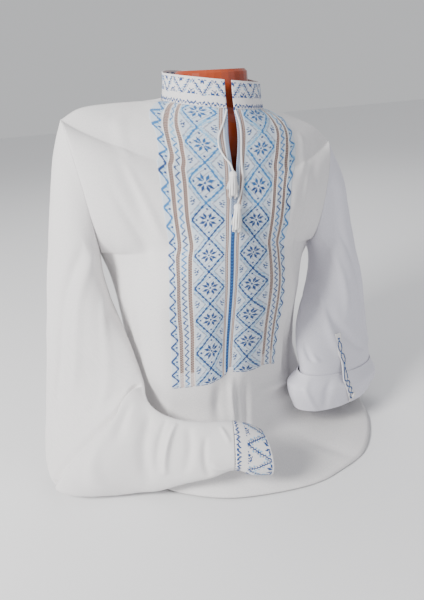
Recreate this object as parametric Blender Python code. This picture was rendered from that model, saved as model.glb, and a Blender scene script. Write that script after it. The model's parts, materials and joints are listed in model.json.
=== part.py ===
"""An embroidered folk shirt on a limbless dress form, in metres, +Z up.

The origin is the middle of the form's base, on the table.  The front faces -Y, so the wearer's right
sleeve is at -X: it hangs to the table and its forearm lies folded across the front.  The wearer's left
sleeve, at +X, is rolled up.  Every cloth piece is a thin closed wall between an outer grid of points and
the same grid moved inwards.
"""

import math

import bmesh
import bpy
import numpy as np
from mathutils import Matrix, Vector

# Driving sizes

WALL = 0.0018            # thickness of the linen's wall
SEAM = 0.0003            # gap left between two pieces at a seam
LAYER = 0.0006           # gap between a piece and what lies on it
COLLAR_HEIGHT = 0.040
COLLAR_GAP = 0.011       # opening of the stand collar at the front, at its seam
COLLAR_COLUMNS = 33
NECK_RADIUS = 0.079
NECK_MIDDLE = (0.008, 0.010)  # middle of the neck, x and y
NECK_RISE = 0.8          # how much the direction shared at the neck seam turns upwards
BACK_COLUMNS = 27        # columns of the back
FRONT_COLUMNS = 17       # and of each half of the front
FOLD_SIDEWAYS = 0.35     # how much the folds next to a side seam stand out to that side
SLIT_SPREAD = 0.016      # how far each edge of the slit is drawn aside at the neck, in places across
SLIT_EDGE = 0.003        # and at the slit's end
SLIT_REACH = 0.12        # how far beside the slit the front gives way
SLIT_END = 5.0           # body level where the slit closes
CORD_SIZE = 0.0026
TASSEL_LIFT = 0.0062     # height of a tassel's middle off the cloth
TASSEL_RUN = 0.8         # levels over which a tassel's line follows the cloth
TASSEL_SECTORS = 10
TASSEL_ROOTS = (0.66, 0.33)  # rings of strand roots, as shares of the head's last radius
CORD_STEPS = 7           # steps of a cord between two rows of its route
STRAND_PARTING = 0.00020
STRAND_TAPER = 0.8
STRAND_UNEVEN = 0.07     # how much shorter some strands end, as a share of their length
STRAND_WAVE = 2.4        # turn of that unevenness from one strand to the next
STRAND_FLATNESS = 0.6    # their spread towards the cloth, as a share of that along it
STRAND_SPLAY = 0.55      # how far the strands spread, as a share of their place in the head
TAB_WIDTH = 0.014
TAB_LIFT = 0.0014        # height of the tab off the sleeve and the roll
BUTTON_RADIUS = 0.0050
BUTTON_TAPER = 0.86
BUTTON_BACK = 0.35       # levels from the tab's end to the button's middle
BUTTON_THICKNESS = 0.0022

RIGHT, LEFT = -1, 1      # the wearer's sides
TIP, UNDERARM = 4.0, 7.0      # levels of the shoulder tip and the underarm, from the neck seam at 0
LAST_LEVEL = 13.0             # level of the hem

# Shoulder seam, on each side: level, x, y, z
SHOULDER = {
    RIGHT: [(0, -0.072, 0.010, 0.560), (1, -0.110, 0.006, 0.562), (2, -0.155, 0.002, 0.563),
            (3, -0.200, 0.000, 0.560), (4, -0.231, -0.002, 0.546)],
    LEFT: [(0, 0.086, 0.010, 0.538), (1, 0.116, 0.006, 0.529), (2, 0.148, 0.002, 0.516),
           (3, 0.179, 0.000, 0.500), (4, 0.205, -0.002, 0.474)],
}

# Side seam, on each side: level, x, y, z
SIDE = {
    RIGHT: [(7, -0.203, -0.028, 0.345), (8, -0.191, -0.018, 0.300), (9, -0.182, -0.008, 0.240),
            (10, -0.177, 0.000, 0.175), (11, -0.177, 0.004, 0.110), (12, -0.188, 0.005, 0.045),
            (13, -0.210, 0.006, 0.0026)],
    LEFT: [(7, 0.166, -0.010, 0.310), (8, 0.152, 0.000, 0.268), (9, 0.141, 0.008, 0.212),
           (10, 0.137, 0.014, 0.155), (11, 0.141, 0.014, 0.094), (12, 0.168, 0.000, 0.026),
           (13, 0.240, -0.066, 0.0026)],
}

# Middle of the front: level, x, y, z, roundness of its half at -X and at +X (1 is an ellipse, less is
# boxier, more is slimmer)
FRONT_LINE = [
    (0, 0.012, -0.069, 0.545, 1.00, 1.00), (1, 0.009, -0.083, 0.522, 0.95, 0.96),
    (2, 0.005, -0.096, 0.500, 0.90, 0.92), (3, 0.001, -0.108, 0.478, 0.85, 0.90),
    (4, -0.004, -0.121, 0.456, 0.82, 0.92), (5, -0.012, -0.140, 0.424, 0.81, 0.95),
    (6, -0.021, -0.157, 0.391, 0.83, 0.98), (7, -0.030, -0.171, 0.356, 0.87, 1.02),
    (8, -0.037, -0.178, 0.310, 0.91, 1.06), (9, -0.045, -0.181, 0.250, 0.93, 1.10),
    (10, -0.051, -0.182, 0.176, 0.93, 1.14), (11, -0.050, -0.187, 0.116, 0.93, 1.26),
    (12, -0.044, -0.216, 0.052, 0.94, 1.50), (13, -0.034, -0.264, 0.0026, 0.96, 0.80),
]

# Middle of the back, in the same columns
BACK_LINE = [
    (0, 0.006, 0.088, 0.558, 1.00, 1.00), (1, 0.006, 0.098, 0.545, 0.95, 0.95),
    (2, 0.005, 0.108, 0.526, 0.90, 0.90), (3, 0.004, 0.118, 0.500, 0.86, 0.86),
    (4, 0.002, 0.126, 0.468, 0.84, 0.84), (5, 0.000, 0.132, 0.428, 0.82, 0.84),
    (6, -0.002, 0.135, 0.386, 0.80, 0.84), (7, -0.004, 0.136, 0.342, 0.80, 0.84),
    (8, -0.006, 0.136, 0.294, 0.80, 0.84), (9, -0.008, 0.138, 0.236, 0.80, 0.82),
    (10, -0.010, 0.142, 0.172, 0.80, 0.80), (11, -0.010, 0.149, 0.108, 0.80, 0.80),
    (12, -0.009, 0.160, 0.047, 0.84, 0.84), (13, -0.008, 0.176, 0.0026, 0.90, 0.90),
]

# Soft folds of the front and back: place across (0 to 1), its drift per level, width, first level, last
# level, height
FRONT_FOLDS = [
    (0.30, -0.004, 0.060, 7.5, 13.0, 0.009), (0.50, 0.004, 0.050, 8.0, 12.6, -0.007),
    (0.66, 0.004, 0.050, 8.0, 13.0, -0.008), (0.78, 0.000, 0.030, 5.0, 12.8, 0.006),
    (0.88, -0.004, 0.030, 4.5, 12.0, -0.006), (0.16, 0.004, 0.035, 4.0, 11.5, -0.006),
    (0.08, 0.000, 0.030, 6.0, 12.0, 0.005), (0.20, 0.000, 0.030, 10.5, 13.6, 0.006),
]
BACK_FOLDS = [
    (0.24, 0.002, 0.035, 3.0, 12.6, 0.008), (0.36, 0.000, 0.030, 5.0, 12.4, -0.008),
    (0.50, 0.002, 0.040, 2.0, 12.8, 0.010), (0.63, -0.002, 0.030, 4.5, 12.4, -0.008),
    (0.76, -0.003, 0.035, 3.5, 12.6, 0.009), (0.12, 0.000, 0.030, 8.0, 12.6, 0.006),
    (0.88, 0.000, 0.030, 8.0, 12.6, 0.006),
]

# Half the depth of each armhole, front to back, and how far its front and back lean to the middle
ARMHOLE_DEPTH = 0.058
ARMHOLE_LEAN = {RIGHT: 0.00, LEFT: 0.28}
LEAN_SHARE = 1.6         # how much the seam's outward direction follows that lean

# Long sleeve, from the armhole at 0 by the cuff's seam at 15 to its open end at 17: level, the tube's
# outer edge (x, y, z), its inner edge (x, y, z), depth between its two layers
LONG_SLEEVE = [
    (0, -0.231, -0.002, 0.546, -0.203, -0.028, 0.345, 0.116),
    (1, -0.249, -0.003, 0.500, -0.203, -0.040, 0.314, 0.108),
    (2, -0.265, -0.005, 0.432, -0.200, -0.057, 0.288, 0.098),
    (3, -0.279, -0.007, 0.352, -0.196, -0.075, 0.262, 0.084),
    (4, -0.293, -0.011, 0.272, -0.190, -0.091, 0.236, 0.068),
    (5, -0.308, -0.018, 0.190, -0.183, -0.106, 0.210, 0.056),
    (6, -0.322, -0.032, 0.112, -0.177, -0.119, 0.182, 0.048),
    (7, -0.336, -0.062, 0.046, -0.173, -0.131, 0.162, 0.043),
    (8, -0.338, -0.106, 0.020, -0.173, -0.142, 0.154, 0.034),
    (9, -0.326, -0.146, 0.014, -0.174, -0.153, 0.148, 0.030),
    (10, -0.286, -0.172, 0.011, -0.171, -0.168, 0.140, 0.033),
    (11, -0.222, -0.193, 0.008, -0.158, -0.186, 0.131, 0.037),
    (12, -0.178, -0.212, 0.015, -0.136, -0.204, 0.125, 0.037),
    (13, -0.136, -0.236, 0.034, -0.106, -0.218, 0.123, 0.038),
    (14, -0.104, -0.250, 0.045, -0.080, -0.224, 0.121, 0.039),
    (15, -0.072, -0.260, 0.057, -0.061, -0.227, 0.119, 0.040),
    (16, -0.046, -0.267, 0.046, -0.038, -0.230, 0.110, 0.042),
    (17, -0.018, -0.270, 0.041, -0.020, -0.233, 0.097, 0.044),
]

SLEEVE_LEVELS = list(np.arange(0.0, 14.6, 0.5)) + [15.0]
CUFF_LEVELS = [15.02, 15.7, 16.35, 17.0]

# Rolled sleeve, from the armhole at 0 to its turned edge at 9, in the same columns
SHORT_SLEEVE = [
    (0, 0.205, -0.002, 0.474, 0.166, -0.010, 0.310, 0.116),
    (1, 0.221, -0.003, 0.430, 0.169, -0.017, 0.280, 0.108),
    (2, 0.230, -0.004, 0.378, 0.165, -0.030, 0.250, 0.100),
    (3, 0.240, -0.006, 0.315, 0.151, -0.050, 0.224, 0.092),
    (4, 0.253, -0.010, 0.240, 0.127, -0.078, 0.202, 0.084),
    (5, 0.262, -0.016, 0.176, 0.102, -0.110, 0.182, 0.075),
    (6, 0.268, -0.025, 0.120, 0.090, -0.133, 0.158, 0.068),
    (7, 0.270, -0.036, 0.082, 0.091, -0.142, 0.130, 0.066),
    (8, 0.262, -0.046, 0.056, 0.089, -0.145, 0.096, 0.067),
    (9, 0.249, -0.056, 0.034, 0.083, -0.148, 0.064, 0.072),
]

SHORT_LEVELS = list(np.arange(0.0, 9.1, 0.5))

TUBE_COLUMNS = 20
PLACE_COLUMNS = 24       # columns of the finer ring on which a place of a tube is read

# Turned-up roll round the end of the rolled sleeve, from its top edge down, in the same columns
ROLL = [
    (0, 0.279, -0.041, 0.068, 0.067, -0.150, 0.126, 0.086),
    (1, 0.272, -0.048, 0.050, 0.066, -0.153, 0.095, 0.088),
    (2, 0.257, -0.056, 0.031, 0.077, -0.1512, 0.061, 0.081),
]

ROLL_LEVELS = [0.0, 0.5, 1.0, 1.5, 2.0]

# Stand collar: share of its height, how far it leans in from the neck seam
COLLAR_LEAN = [(0, 0.0), (0.5, -0.0030), (1.0, -0.0042)]

FORM_COLUMNS = 32
FORM_STEP = 0.030        # tallest step between two rings of the form

# Dress form, from its base up: z at the middle, x, y, half width, half depth, tilt
FORM = [
    (0.0000, 0.000, 0.000, 0.118, 0.092, 0.00), (0.0060, 0.000, 0.000, 0.122, 0.098, 0.00),
    (0.0700, -0.008, 0.000, 0.127, 0.103, 0.00), (0.1600, -0.014, 0.000, 0.128, 0.101, 0.01),
    (0.2500, -0.015, 0.000, 0.131, 0.102, 0.03), (0.3300, -0.013, 0.002, 0.138, 0.101, 0.06),
    (0.3950, -0.009, 0.004, 0.151, 0.100, 0.09), (0.4450, -0.005, 0.006, 0.157, 0.094, 0.12),
    (0.4800, -0.002, 0.007, 0.158, 0.092, 0.14), (0.5080, 0.000, 0.008, 0.146, 0.085, 0.15),
    (0.5270, 0.003, 0.009, 0.126, 0.077, 0.15), (0.5390, 0.005, 0.010, 0.099, 0.064, 0.15),
    (0.5470, 0.006, 0.010, 0.0760, 0.057, 0.14), (0.5560, 0.007, 0.010, 0.0642, 0.0562, 0.11),
    (0.5720, 0.008, 0.010, 0.058, 0.056, 0.06), (0.5960, 0.008, 0.010, 0.057, 0.055, 0.02),
    (0.6000, 0.008, 0.010, 0.053, 0.051, 0.02),
]

# Tie cords, from the neck seam at each edge of the slit to their tassels: place across the front, level,
# lift of the cord's middle off the cloth
CORD_RIGHT = [
    (0.474, 0.10, 0.0016), (0.463, 0.85, 0.0016), (0.452, 1.60, 0.0016), (0.452, 2.30, 0.0016),
    (0.466, 2.90, 0.0020), (0.482, 3.35, 0.0040), (0.490, 3.83, 0.0062),
]
CORD_LEFT = [
    (0.526, 0.10, 0.0016), (0.530, 0.85, 0.0016), (0.525, 1.80, 0.0016), (0.522, 2.70, 0.0016),
    (0.525, 3.50, 0.0016), (0.528, 4.15, 0.0018), (0.520, 4.70, 0.0040), (0.507, 5.135, 0.0062),
]

# Tassels: place across the front, level of the head's top, length of the strands
TASSEL_UPPER = (0.490, 3.85, 0.029)
TASSEL_LOWER = (0.507, 5.15, 0.030)

# Tassel's outline from the top of its head down to the roots of its strands: radius, depth
TASSEL_OUTLINE = [(0.0024, 0.0000), (0.0052, 0.0026), (0.0060, 0.0060), (0.0042, 0.0092), (0.0052, 0.0112)]

# Button tab on the rolled sleeve: its angle round the sleeve in turns at its top and its lower end, first
# level on the sleeve, last level on the roll
TAB_TURN_TOP = 0.690
TAB_TURN_END = 0.745
TAB_START = 5.3
TAB_LEAVES = 6.6         # last level on the sleeve, where the tab crosses to the roll
TAB_END = 1.75


# Reading tables and shaping curves

def read(table, place):
    """Values of a table at a place between its rows, joined by smooth curves."""
    rows = np.array(table, dtype=float)
    at = rows[:, 0]
    values = rows[:, 1:]
    slopes = np.gradient(values, at, axis=0)
    row = int(np.clip(np.searchsorted(at, place) - 1, 0, len(at) - 2))
    step = at[row + 1] - at[row]
    t = float(np.clip((place - at[row]) / step, 0.0, 1.0))
    rise = t * t * (3.0 - 2.0 * t)
    leave = t * (1.0 - t) ** 2 * step
    arrive = t * t * (t - 1.0) * step
    between = values[row] * (1.0 - rise) + values[row + 1] * rise
    return between + slopes[row] * leave + slopes[row + 1] * arrive


def fade(value, start, end):
    """0 before start, 1 after end, with a soft ramp between them."""
    t = float(np.clip((value - start) / (end - start), 0.0, 1.0))
    return t * t * (3.0 - 2.0 * t)


def fold_height(folds, across, level):
    """Height of the soft folds at a place of the front or back."""
    height = 0.0
    for place, drift, width, first, last, size in folds:
        middle = place + drift * (level - first)
        bump = math.exp(-((across - middle) / width) ** 2)
        ends = fade(level, first - 1.0, first + 1.5) * (1.0 - fade(level, last - 0.6, last + 0.6))
        height += size * bump * ends
    return height * math.sin(math.pi * across) ** 0.5


def unit(vector):
    """A vector made one long."""
    return vector / max(float(np.linalg.norm(vector)), 1e-9)


# The body's surface

def armhole(side, turn, face):
    """Point of an armhole: turn 0 is the shoulder tip and 1 the underarm, face -1 the front, 1 the back."""
    top = read(SHOULDER[side], TIP)
    low = read(SIDE[side], UNDERARM)
    angle = math.pi * turn
    middle = (top + low) / 2.0
    point = middle + (top - low) / 2.0 * math.cos(angle)
    point[1] += face * ARMHOLE_DEPTH * math.sin(angle)
    point[0] -= side * ARMHOLE_LEAN[side] * ARMHOLE_DEPTH * math.sin(angle)
    return point


def body_edge(side, face, level):
    """Where the front (face -1) or back (face 1) ends at one side of a level."""
    if level <= TIP:
        return read(SHOULDER[side], level)
    if level < UNDERARM:
        return armhole(side, (level - TIP) / (UNDERARM - TIP), face)
    return read(SIDE[side], level)


def body_point(face, across, level):
    """Point of the front (face -1) or back (face 1): across runs from 0 at -X to 1 at +X."""
    start = body_edge(RIGHT, face, level)
    end = body_edge(LEFT, face, level)
    line = read(FRONT_LINE if face < 0 else BACK_LINE, level)
    middle = line[:3]
    roundness = line[3] + (line[4] - line[3]) * fade(across, 0.35, 0.65)
    rise = math.sin(math.pi * across)
    wrapped = 0.5 - 0.5 * math.copysign(abs(math.cos(math.pi * across)) ** roundness, 0.5 - across)
    wrap = 1.0 - fade(level, 0.5, TIP) + fade(level, UNDERARM - 0.5, UNDERARM + 2.0)
    chord = start + (end - start) * (across + (wrapped - across) * wrap)
    point = chord + (middle - (start + end) / 2.0) * rise ** roundness
    outward = np.array([FOLD_SIDEWAYS * math.sin(math.pi * (across - 0.5)), face, 0.0])
    folds = FRONT_FOLDS if face < 0 else BACK_FOLDS
    return point + unit(outward) * fold_height(folds, across, level)


def seam_direction(side, turn, face, lean):
    """Outward direction along an armhole's seam, leaning at the underarm to the body's or sleeve's side."""
    middle = (armhole(side, 0.0, face) + armhole(side, 1.0, face)) / 2.0
    away = unit(armhole(side, turn, face) - middle)
    tilt = ARMHOLE_LEAN[side] * LEAN_SHARE * math.sin(math.pi * turn)
    away[0] += side * (lean * fade(turn, 0.5, 1.0) + tilt)
    return unit(away)


def side_direction(side, level):
    """Outward direction along a side seam, square to the seam."""
    step = 0.1
    run = read(SIDE[side], level + step) - read(SIDE[side], level - step)
    return unit(np.array([-run[2], 0.0, run[0]])) * side


def neck_direction(point):
    """Outward direction that the body and the collar share at the neck seam."""
    middle = np.array([*NECK_MIDDLE, point[2]])
    return unit(unit(point - middle) + np.array([0.0, 0.0, NECK_RISE]))


# Closed walls from grids

def normals(points, around=False):
    """Directions across a grid of points, from the steps to its neighbours."""
    if around:
        sideways = np.roll(points, -1, axis=1) - np.roll(points, 1, axis=1)
    else:
        sideways = np.gradient(points, axis=1)
    lengthways = np.gradient(points, axis=0)
    across = np.cross(lengthways, sideways)
    return across / np.maximum(np.linalg.norm(across, axis=2, keepdims=True), 1e-12)


def wall(name, outer, inner, material, around=False, keep=None):
    """Closed wall between two grids.  keep(row, column) says which cells are cloth."""
    rows, columns = outer.shape[:2]
    cells_across = columns if around else columns - 1
    mesh = bmesh.new()
    outside = {}
    inside = {}

    def corner(store, grid, row, column):
        """The vertex of a grid's point, made once."""
        key = (row, column % columns)
        if key not in store:
            store[key] = mesh.verts.new(grid[key])
        return store[key]

    for row in range(rows - 1):
        for column in range(cells_across):
            if keep is not None and not keep(row, column):
                continue
            ring = [(row, column), (row, column + 1), (row + 1, column + 1), (row + 1, column)]
            for half in (ring[:3], [ring[0], ring[2], ring[3]]):
                mesh.faces.new([corner(outside, outer, *place) for place in half])
                mesh.faces.new([corner(inside, inner, *place) for place in reversed(half)])
    pairs = {outside[key]: inside[key] for key in outside}
    rims = [edge for edge in mesh.edges if edge.is_boundary and edge.verts[0] in pairs]
    for edge in rims:
        first, second = edge.verts
        mesh.faces.new([first, second, pairs[second], pairs[first]])
    bmesh.ops.recalc_face_normals(mesh, faces=mesh.faces[:])
    return add_piece(name, mesh, material)


def add_piece(name, mesh, material):
    """Object of a finished bmesh, with its material and soft shading."""
    data = bpy.data.meshes.new(name)
    mesh.to_mesh(data)
    mesh.free()
    data.materials.append(material)
    data.shade_smooth()
    data.set_sharp_from_angle(angle=math.radians(50.0))
    piece = bpy.data.objects.new(name, data)
    bpy.context.scene.collection.objects.link(piece)
    return piece


def make_material(name, colour, roughness):
    """Plain material of one colour."""
    material = bpy.data.materials.new(name)
    material.use_nodes = True
    shader = material.node_tree.nodes["Principled BSDF"]
    shader.inputs["Base Color"].default_value = (*colour, 1.0)
    shader.inputs["Roughness"].default_value = roughness
    shader.inputs["Metallic"].default_value = 0.0
    return material


# Body panels

def panel_columns(face):
    """Places across a panel.  The front has a column on each edge of the slit."""
    if face > 0:
        return list(np.linspace(0.0, 1.0, BACK_COLUMNS))
    half = list(np.linspace(0.0, 0.5 - SLIT_EDGE, FRONT_COLUMNS))
    return half + [1.0 - place for place in reversed(half)]


def beside_slit(across, level):
    """Place across the front once the slit's edges are drawn apart."""
    away = across - 0.5
    spread = SLIT_SPREAD * (1.0 - fade(level, 0.0, SLIT_END)) * max(0.0, 1.0 - abs(away) / SLIT_REACH)
    return across + math.copysign(spread, away)


def panel_levels():
    """Levels of a panel's rows, which meet the sleeves' columns along the armholes."""
    shoulder = np.arange(0.0, TIP, 0.5)
    beside_sleeve = np.linspace(TIP, UNDERARM, TUBE_COLUMNS // 2 + 1)
    lower = np.arange(UNDERARM + 0.5, LAST_LEVEL + 0.01, 0.5)
    return list(shoulder) + list(beside_sleeve) + list(lower)


def make_panel(name, face, material):
    """Front or back of the body, with the front's slit cut down from the neck."""
    columns = panel_columns(face)
    levels = panel_levels()
    outer = []
    for level in levels:
        places = [beside_slit(across, level) if face < 0 else across for across in columns]
        outer.append([body_point(face, place, level) for place in places])
    outer = np.array(outer)
    direction = normals(outer)
    if np.sum(direction[:, len(columns) // 2, 1]) * face < 0:
        direction = -direction
    share_seams(direction, outer, levels, face)
    pull_back_seams(outer, levels, face)
    inner = outer - direction * WALL
    slit_column = len(columns) // 2 - 1

    def is_cloth(row, column):
        """The cell between the slit's two columns is open above the slit's end."""
        return face > 0 or column != slit_column or levels[row] >= SLIT_END

    return wall(name, outer, inner, material, keep=is_cloth)


def share_seams(direction, outer, levels, face):
    """Give the panel's borders the directions that the pieces beyond them use too."""
    for column in range(outer.shape[1]):
        direction[0, column] = neck_direction(outer[0, column])
    for row, level in enumerate(levels):
        for column, side in ((0, RIGHT), (-1, LEFT)):
            if level == 0.0:
                continue
            if level < TIP:
                direction[row, column] = unit(np.array([0.0, 0.0, 1.0]))
            elif level <= UNDERARM:
                turn = (level - TIP) / (UNDERARM - TIP)
                direction[row, column] = seam_direction(side, turn, face, 1.0)
            else:
                direction[row, column] = side_direction(side, level)


def pull_back_seams(outer, levels, face):
    """Leave half a seam's gap along the shoulder and side seams."""
    for row, level in enumerate(levels):
        if level <= TIP or level >= UNDERARM:
            outer[row, 0, 1] += face * SEAM / 2.0
            outer[row, -1, 1] += face * SEAM / 2.0


# Tubes: sleeves, cuff and roll

def tube_frame(table, level):
    """Middle, half span and half depth of a flattened tube, from its outer edge, inner edge and depth."""
    values = read(table, level)
    middle = (values[0:3] + values[3:6]) / 2.0
    span = (values[0:3] - values[3:6]) / 2.0
    return middle, span, values[6] / 2.0


def tube(table, levels, count, side):
    """Grid of a flattened tube: rows along it, columns round it, from its outer edge round by the back."""
    back = np.array([0.0, 1.0, 0.0])
    step = 0.25
    grid = []
    for level in levels:
        middle, span, half_depth = tube_frame(table, level)
        edge = unit(span)
        along = tube_frame(table, level + step)[0] - tube_frame(table, level - step)[0]
        square = unit(np.cross(span, along)) * side
        upright = unit(back - edge * float(np.dot(back, edge)))
        elbow = fade(level, 2.0, 6.0) if table is LONG_SLEEVE else 0.0
        turned = 1.0 if table is ROLL else fade(level, 0.0, 1.5)
        facing = unit(upright * (1.0 - elbow) + square * elbow) * turned + back * (1.0 - turned)
        lean = side * ARMHOLE_LEAN[side] * (1.0 - turned)
        ring = []
        for column in range(count):
            angle = 2.0 * math.pi * column / count
            place = middle + span * math.cos(angle) + facing * half_depth * math.sin(angle)
            place[0] -= lean * half_depth * abs(math.sin(angle))
            ring.append(place)
        grid.append(ring)
    return np.array(grid)


def tube_walls(table, levels, side):
    """Outer and inner grids of a tube of cloth.  Unless it is the roll, its first ring fits the armhole."""
    outer = tube(table, levels, TUBE_COLUMNS, side)
    direction = normals(outer, around=True)
    if np.sum(direction * (outer - outer.mean(axis=1, keepdims=True))) < 0:
        direction = -direction
    if table is not ROLL:
        for column in range(TUBE_COLUMNS):
            angle = 2.0 * column / TUBE_COLUMNS
            turn = angle if angle <= 1.0 else 2.0 - angle
            face = 1.0 if angle <= 1.0 else -1.0
            direction[0, column] = seam_direction(side, turn, face, -1.0)
            outer[0, column, 0] += side * SEAM
    return outer, outer - direction * WALL


def make_long_sleeve(linen, stitched):
    """Long sleeve and its cuff, which share one tube."""
    outer, inner = tube_walls(LONG_SLEEVE, SLEEVE_LEVELS + CUFF_LEVELS, RIGHT)
    seam = len(SLEEVE_LEVELS)
    wall("sleeve_right", outer[:seam], inner[:seam], linen, around=True)
    wall("cuff_right", outer[seam:], inner[seam:], stitched, around=True)


def make_rolled_sleeve(linen):
    """Rolled sleeve and the roll round its end."""
    wall("sleeve_left", *tube_walls(SHORT_SLEEVE, SHORT_LEVELS, LEFT), linen, around=True)
    wall("sleeve_left_roll", *tube_walls(ROLL, ROLL_LEVELS, LEFT), linen, around=True)


# Collar

def make_collar(material):
    """Stand collar on the neck seam, open at the front."""
    count = COLLAR_COLUMNS
    half_gap = COLLAR_GAP / 2.0 / NECK_RADIUS
    seam = []
    for column in range(count):
        angle = half_gap + (2.0 * math.pi - 2.0 * half_gap) * column / (count - 1)
        seam.append(neck_seam_point(angle))
    seam = np.array(seam)
    outer = []
    inner = []
    for share, lean in COLLAR_LEAN:
        ring_out = []
        ring_in = []
        for point in seam:
            away = unit(point - np.array([*NECK_MIDDLE, point[2]]))
            facing = neck_direction(point) if share == 0 else away
            place = point + away * lean + np.array([0.0, 0.0, SEAM + COLLAR_HEIGHT * share])
            ring_out.append(place)
            ring_in.append(place - facing * WALL)
        outer.append(ring_out)
        inner.append(ring_in)
    return wall("collar", np.array(outer), np.array(inner), material)


def neck_seam_point(angle):
    """Point of the neck seam: angle 0 is the front, then on round by +X and the back."""
    turn = angle % (2.0 * math.pi)
    if turn < math.pi / 2.0:
        return body_point(-1, 0.5 + turn / math.pi, 0.0)
    if turn < 1.5 * math.pi:
        return body_point(1, 1.5 - turn / math.pi, 0.0)
    return body_point(-1, turn / math.pi - 1.5, 0.0)


# Dress form

def make_form(material):
    """Smooth limbless bust with a flat base, standing on the table."""
    heights = [row[0] for row in FORM]
    places = []
    for low, high in zip(heights, heights[1:]):
        steps = max(1, round((high - low) / FORM_STEP))
        places += [low + (high - low) * step / steps for step in range(steps)]
    places.append(heights[-1])
    mesh = bmesh.new()
    rings = []
    for height in places:
        x, y, half_width, half_depth, tilt = read(FORM, height)
        ring = []
        for column in range(FORM_COLUMNS):
            angle = 2.0 * math.pi * column / FORM_COLUMNS
            east = half_width * math.cos(angle)
            north = half_depth * math.sin(angle)
            ring.append(mesh.verts.new((x + east, y + north, height - tilt * east)))
        rings.append(ring)
    for low, high in zip(rings, rings[1:]):
        for column in range(FORM_COLUMNS):
            after = (column + 1) % FORM_COLUMNS
            mesh.faces.new((low[column], low[after], high[after], high[column]))
    mesh.faces.new(list(reversed(rings[0])))
    mesh.faces.new(rings[-1])
    bmesh.ops.recalc_face_normals(mesh, faces=mesh.faces[:])
    return add_piece("dress_form", mesh, material)


# Tab and button of the rolled sleeve

def tube_place(table, level, turn, side):
    """Point of a tube's surface and the direction out of it."""
    count = PLACE_COLUMNS
    step = 0.05
    grid = tube(table, [level - step, level, level + step], count, side)
    direction = normals(grid, around=True)
    middle = grid.mean(axis=1, keepdims=True)
    if np.sum(direction * (grid - middle)) < 0:
        direction = -direction
    column = (turn % 1.0) * count
    low = int(column)
    share = column - low
    after = (low + 1) % count
    point = grid[1, low] * (1.0 - share) + grid[1, after] * share
    return point, unit(direction[1, low] * (1.0 - share) + direction[1, after] * share)


def make_tab(material):
    """Strip buttoned over the roll, lying on the sleeve and then on the roll."""
    places = [(SHORT_SLEEVE, level) for level in np.linspace(TAB_START, TAB_LEAVES, 4)]
    places += [(ROLL, level) for level in np.linspace(0.0, TAB_END, 6)]
    middles = []
    outward = []
    for number, (table, level) in enumerate(places):
        turn = TAB_TURN_TOP + (TAB_TURN_END - TAB_TURN_TOP) * number / (len(places) - 1)
        point, direction = tube_place(table, level, turn, LEFT)
        middles.append(point + direction * (TAB_LIFT + WALL))
        outward.append(direction)
    middles = np.array(middles)
    outward = np.array(outward)
    along = np.gradient(middles, axis=0)
    outer = []
    inner = []
    for point, direction, run in zip(middles, outward, along):
        across = unit(np.cross(run, direction)) * TAB_WIDTH / 2.0
        row = [point + across * share for share in (-1.0, -0.33, 0.33, 1.0)]
        outer.append(row)
        inner.append([place - direction * WALL for place in row])
    return wall("tab_left", np.array(outer), np.array(inner), material)


def make_button(material):
    """Small round button at the lower end of the tab."""
    point, direction = tube_place(ROLL, TAB_END - BUTTON_BACK, TAB_TURN_END, LEFT)
    mesh = bmesh.new()
    bmesh.ops.create_cone(mesh, cap_ends=True, segments=20, radius1=BUTTON_RADIUS,
                          radius2=BUTTON_RADIUS * BUTTON_TAPER, depth=BUTTON_THICKNESS)
    turn = Vector((0.0, 0.0, 1.0)).rotation_difference(Vector(direction)).to_matrix().to_4x4()
    lift = TAB_LIFT + WALL + LAYER + BUTTON_THICKNESS / 2.0
    place = Matrix.Translation(Vector(point + direction * lift))
    bmesh.ops.transform(mesh, matrix=place @ turn, verts=mesh.verts[:])
    return add_piece("button_left", mesh, material)


# Tie cords and tassels

def front_place(across, level):
    """Point of the front's surface and the direction out of it."""
    step = 0.01
    point = body_point(-1, across, level)
    sideways = body_point(-1, across + step, level) - body_point(-1, across - step, level)
    downwards = body_point(-1, across, level + step) - body_point(-1, across, max(level - step, 0.0))
    return point, unit(np.cross(sideways, -downwards))


def make_cord(name, route, material):
    """Tie cord that lies on the front."""
    rows = [(number, *row) for number, row in enumerate(route)]
    count = CORD_STEPS * (len(route) - 1)
    curve = bpy.data.curves.new(name, "CURVE")
    curve.dimensions = "3D"
    curve.bevel_depth = CORD_SIZE / 2.0
    curve.bevel_resolution = 2
    curve.use_fill_caps = True
    spline = curve.splines.new("POLY")
    spline.points.add(count)
    for number in range(count + 1):
        across, level, lift = read(rows, number * (len(route) - 1) / count)
        point, direction = front_place(across, level)
        place = point + direction * lift
        spline.points[number].co = (*place, 1.0)
    curve.materials.append(material)
    piece = bpy.data.objects.new(name, curve)
    bpy.context.scene.collection.objects.link(piece)
    return piece


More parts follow.
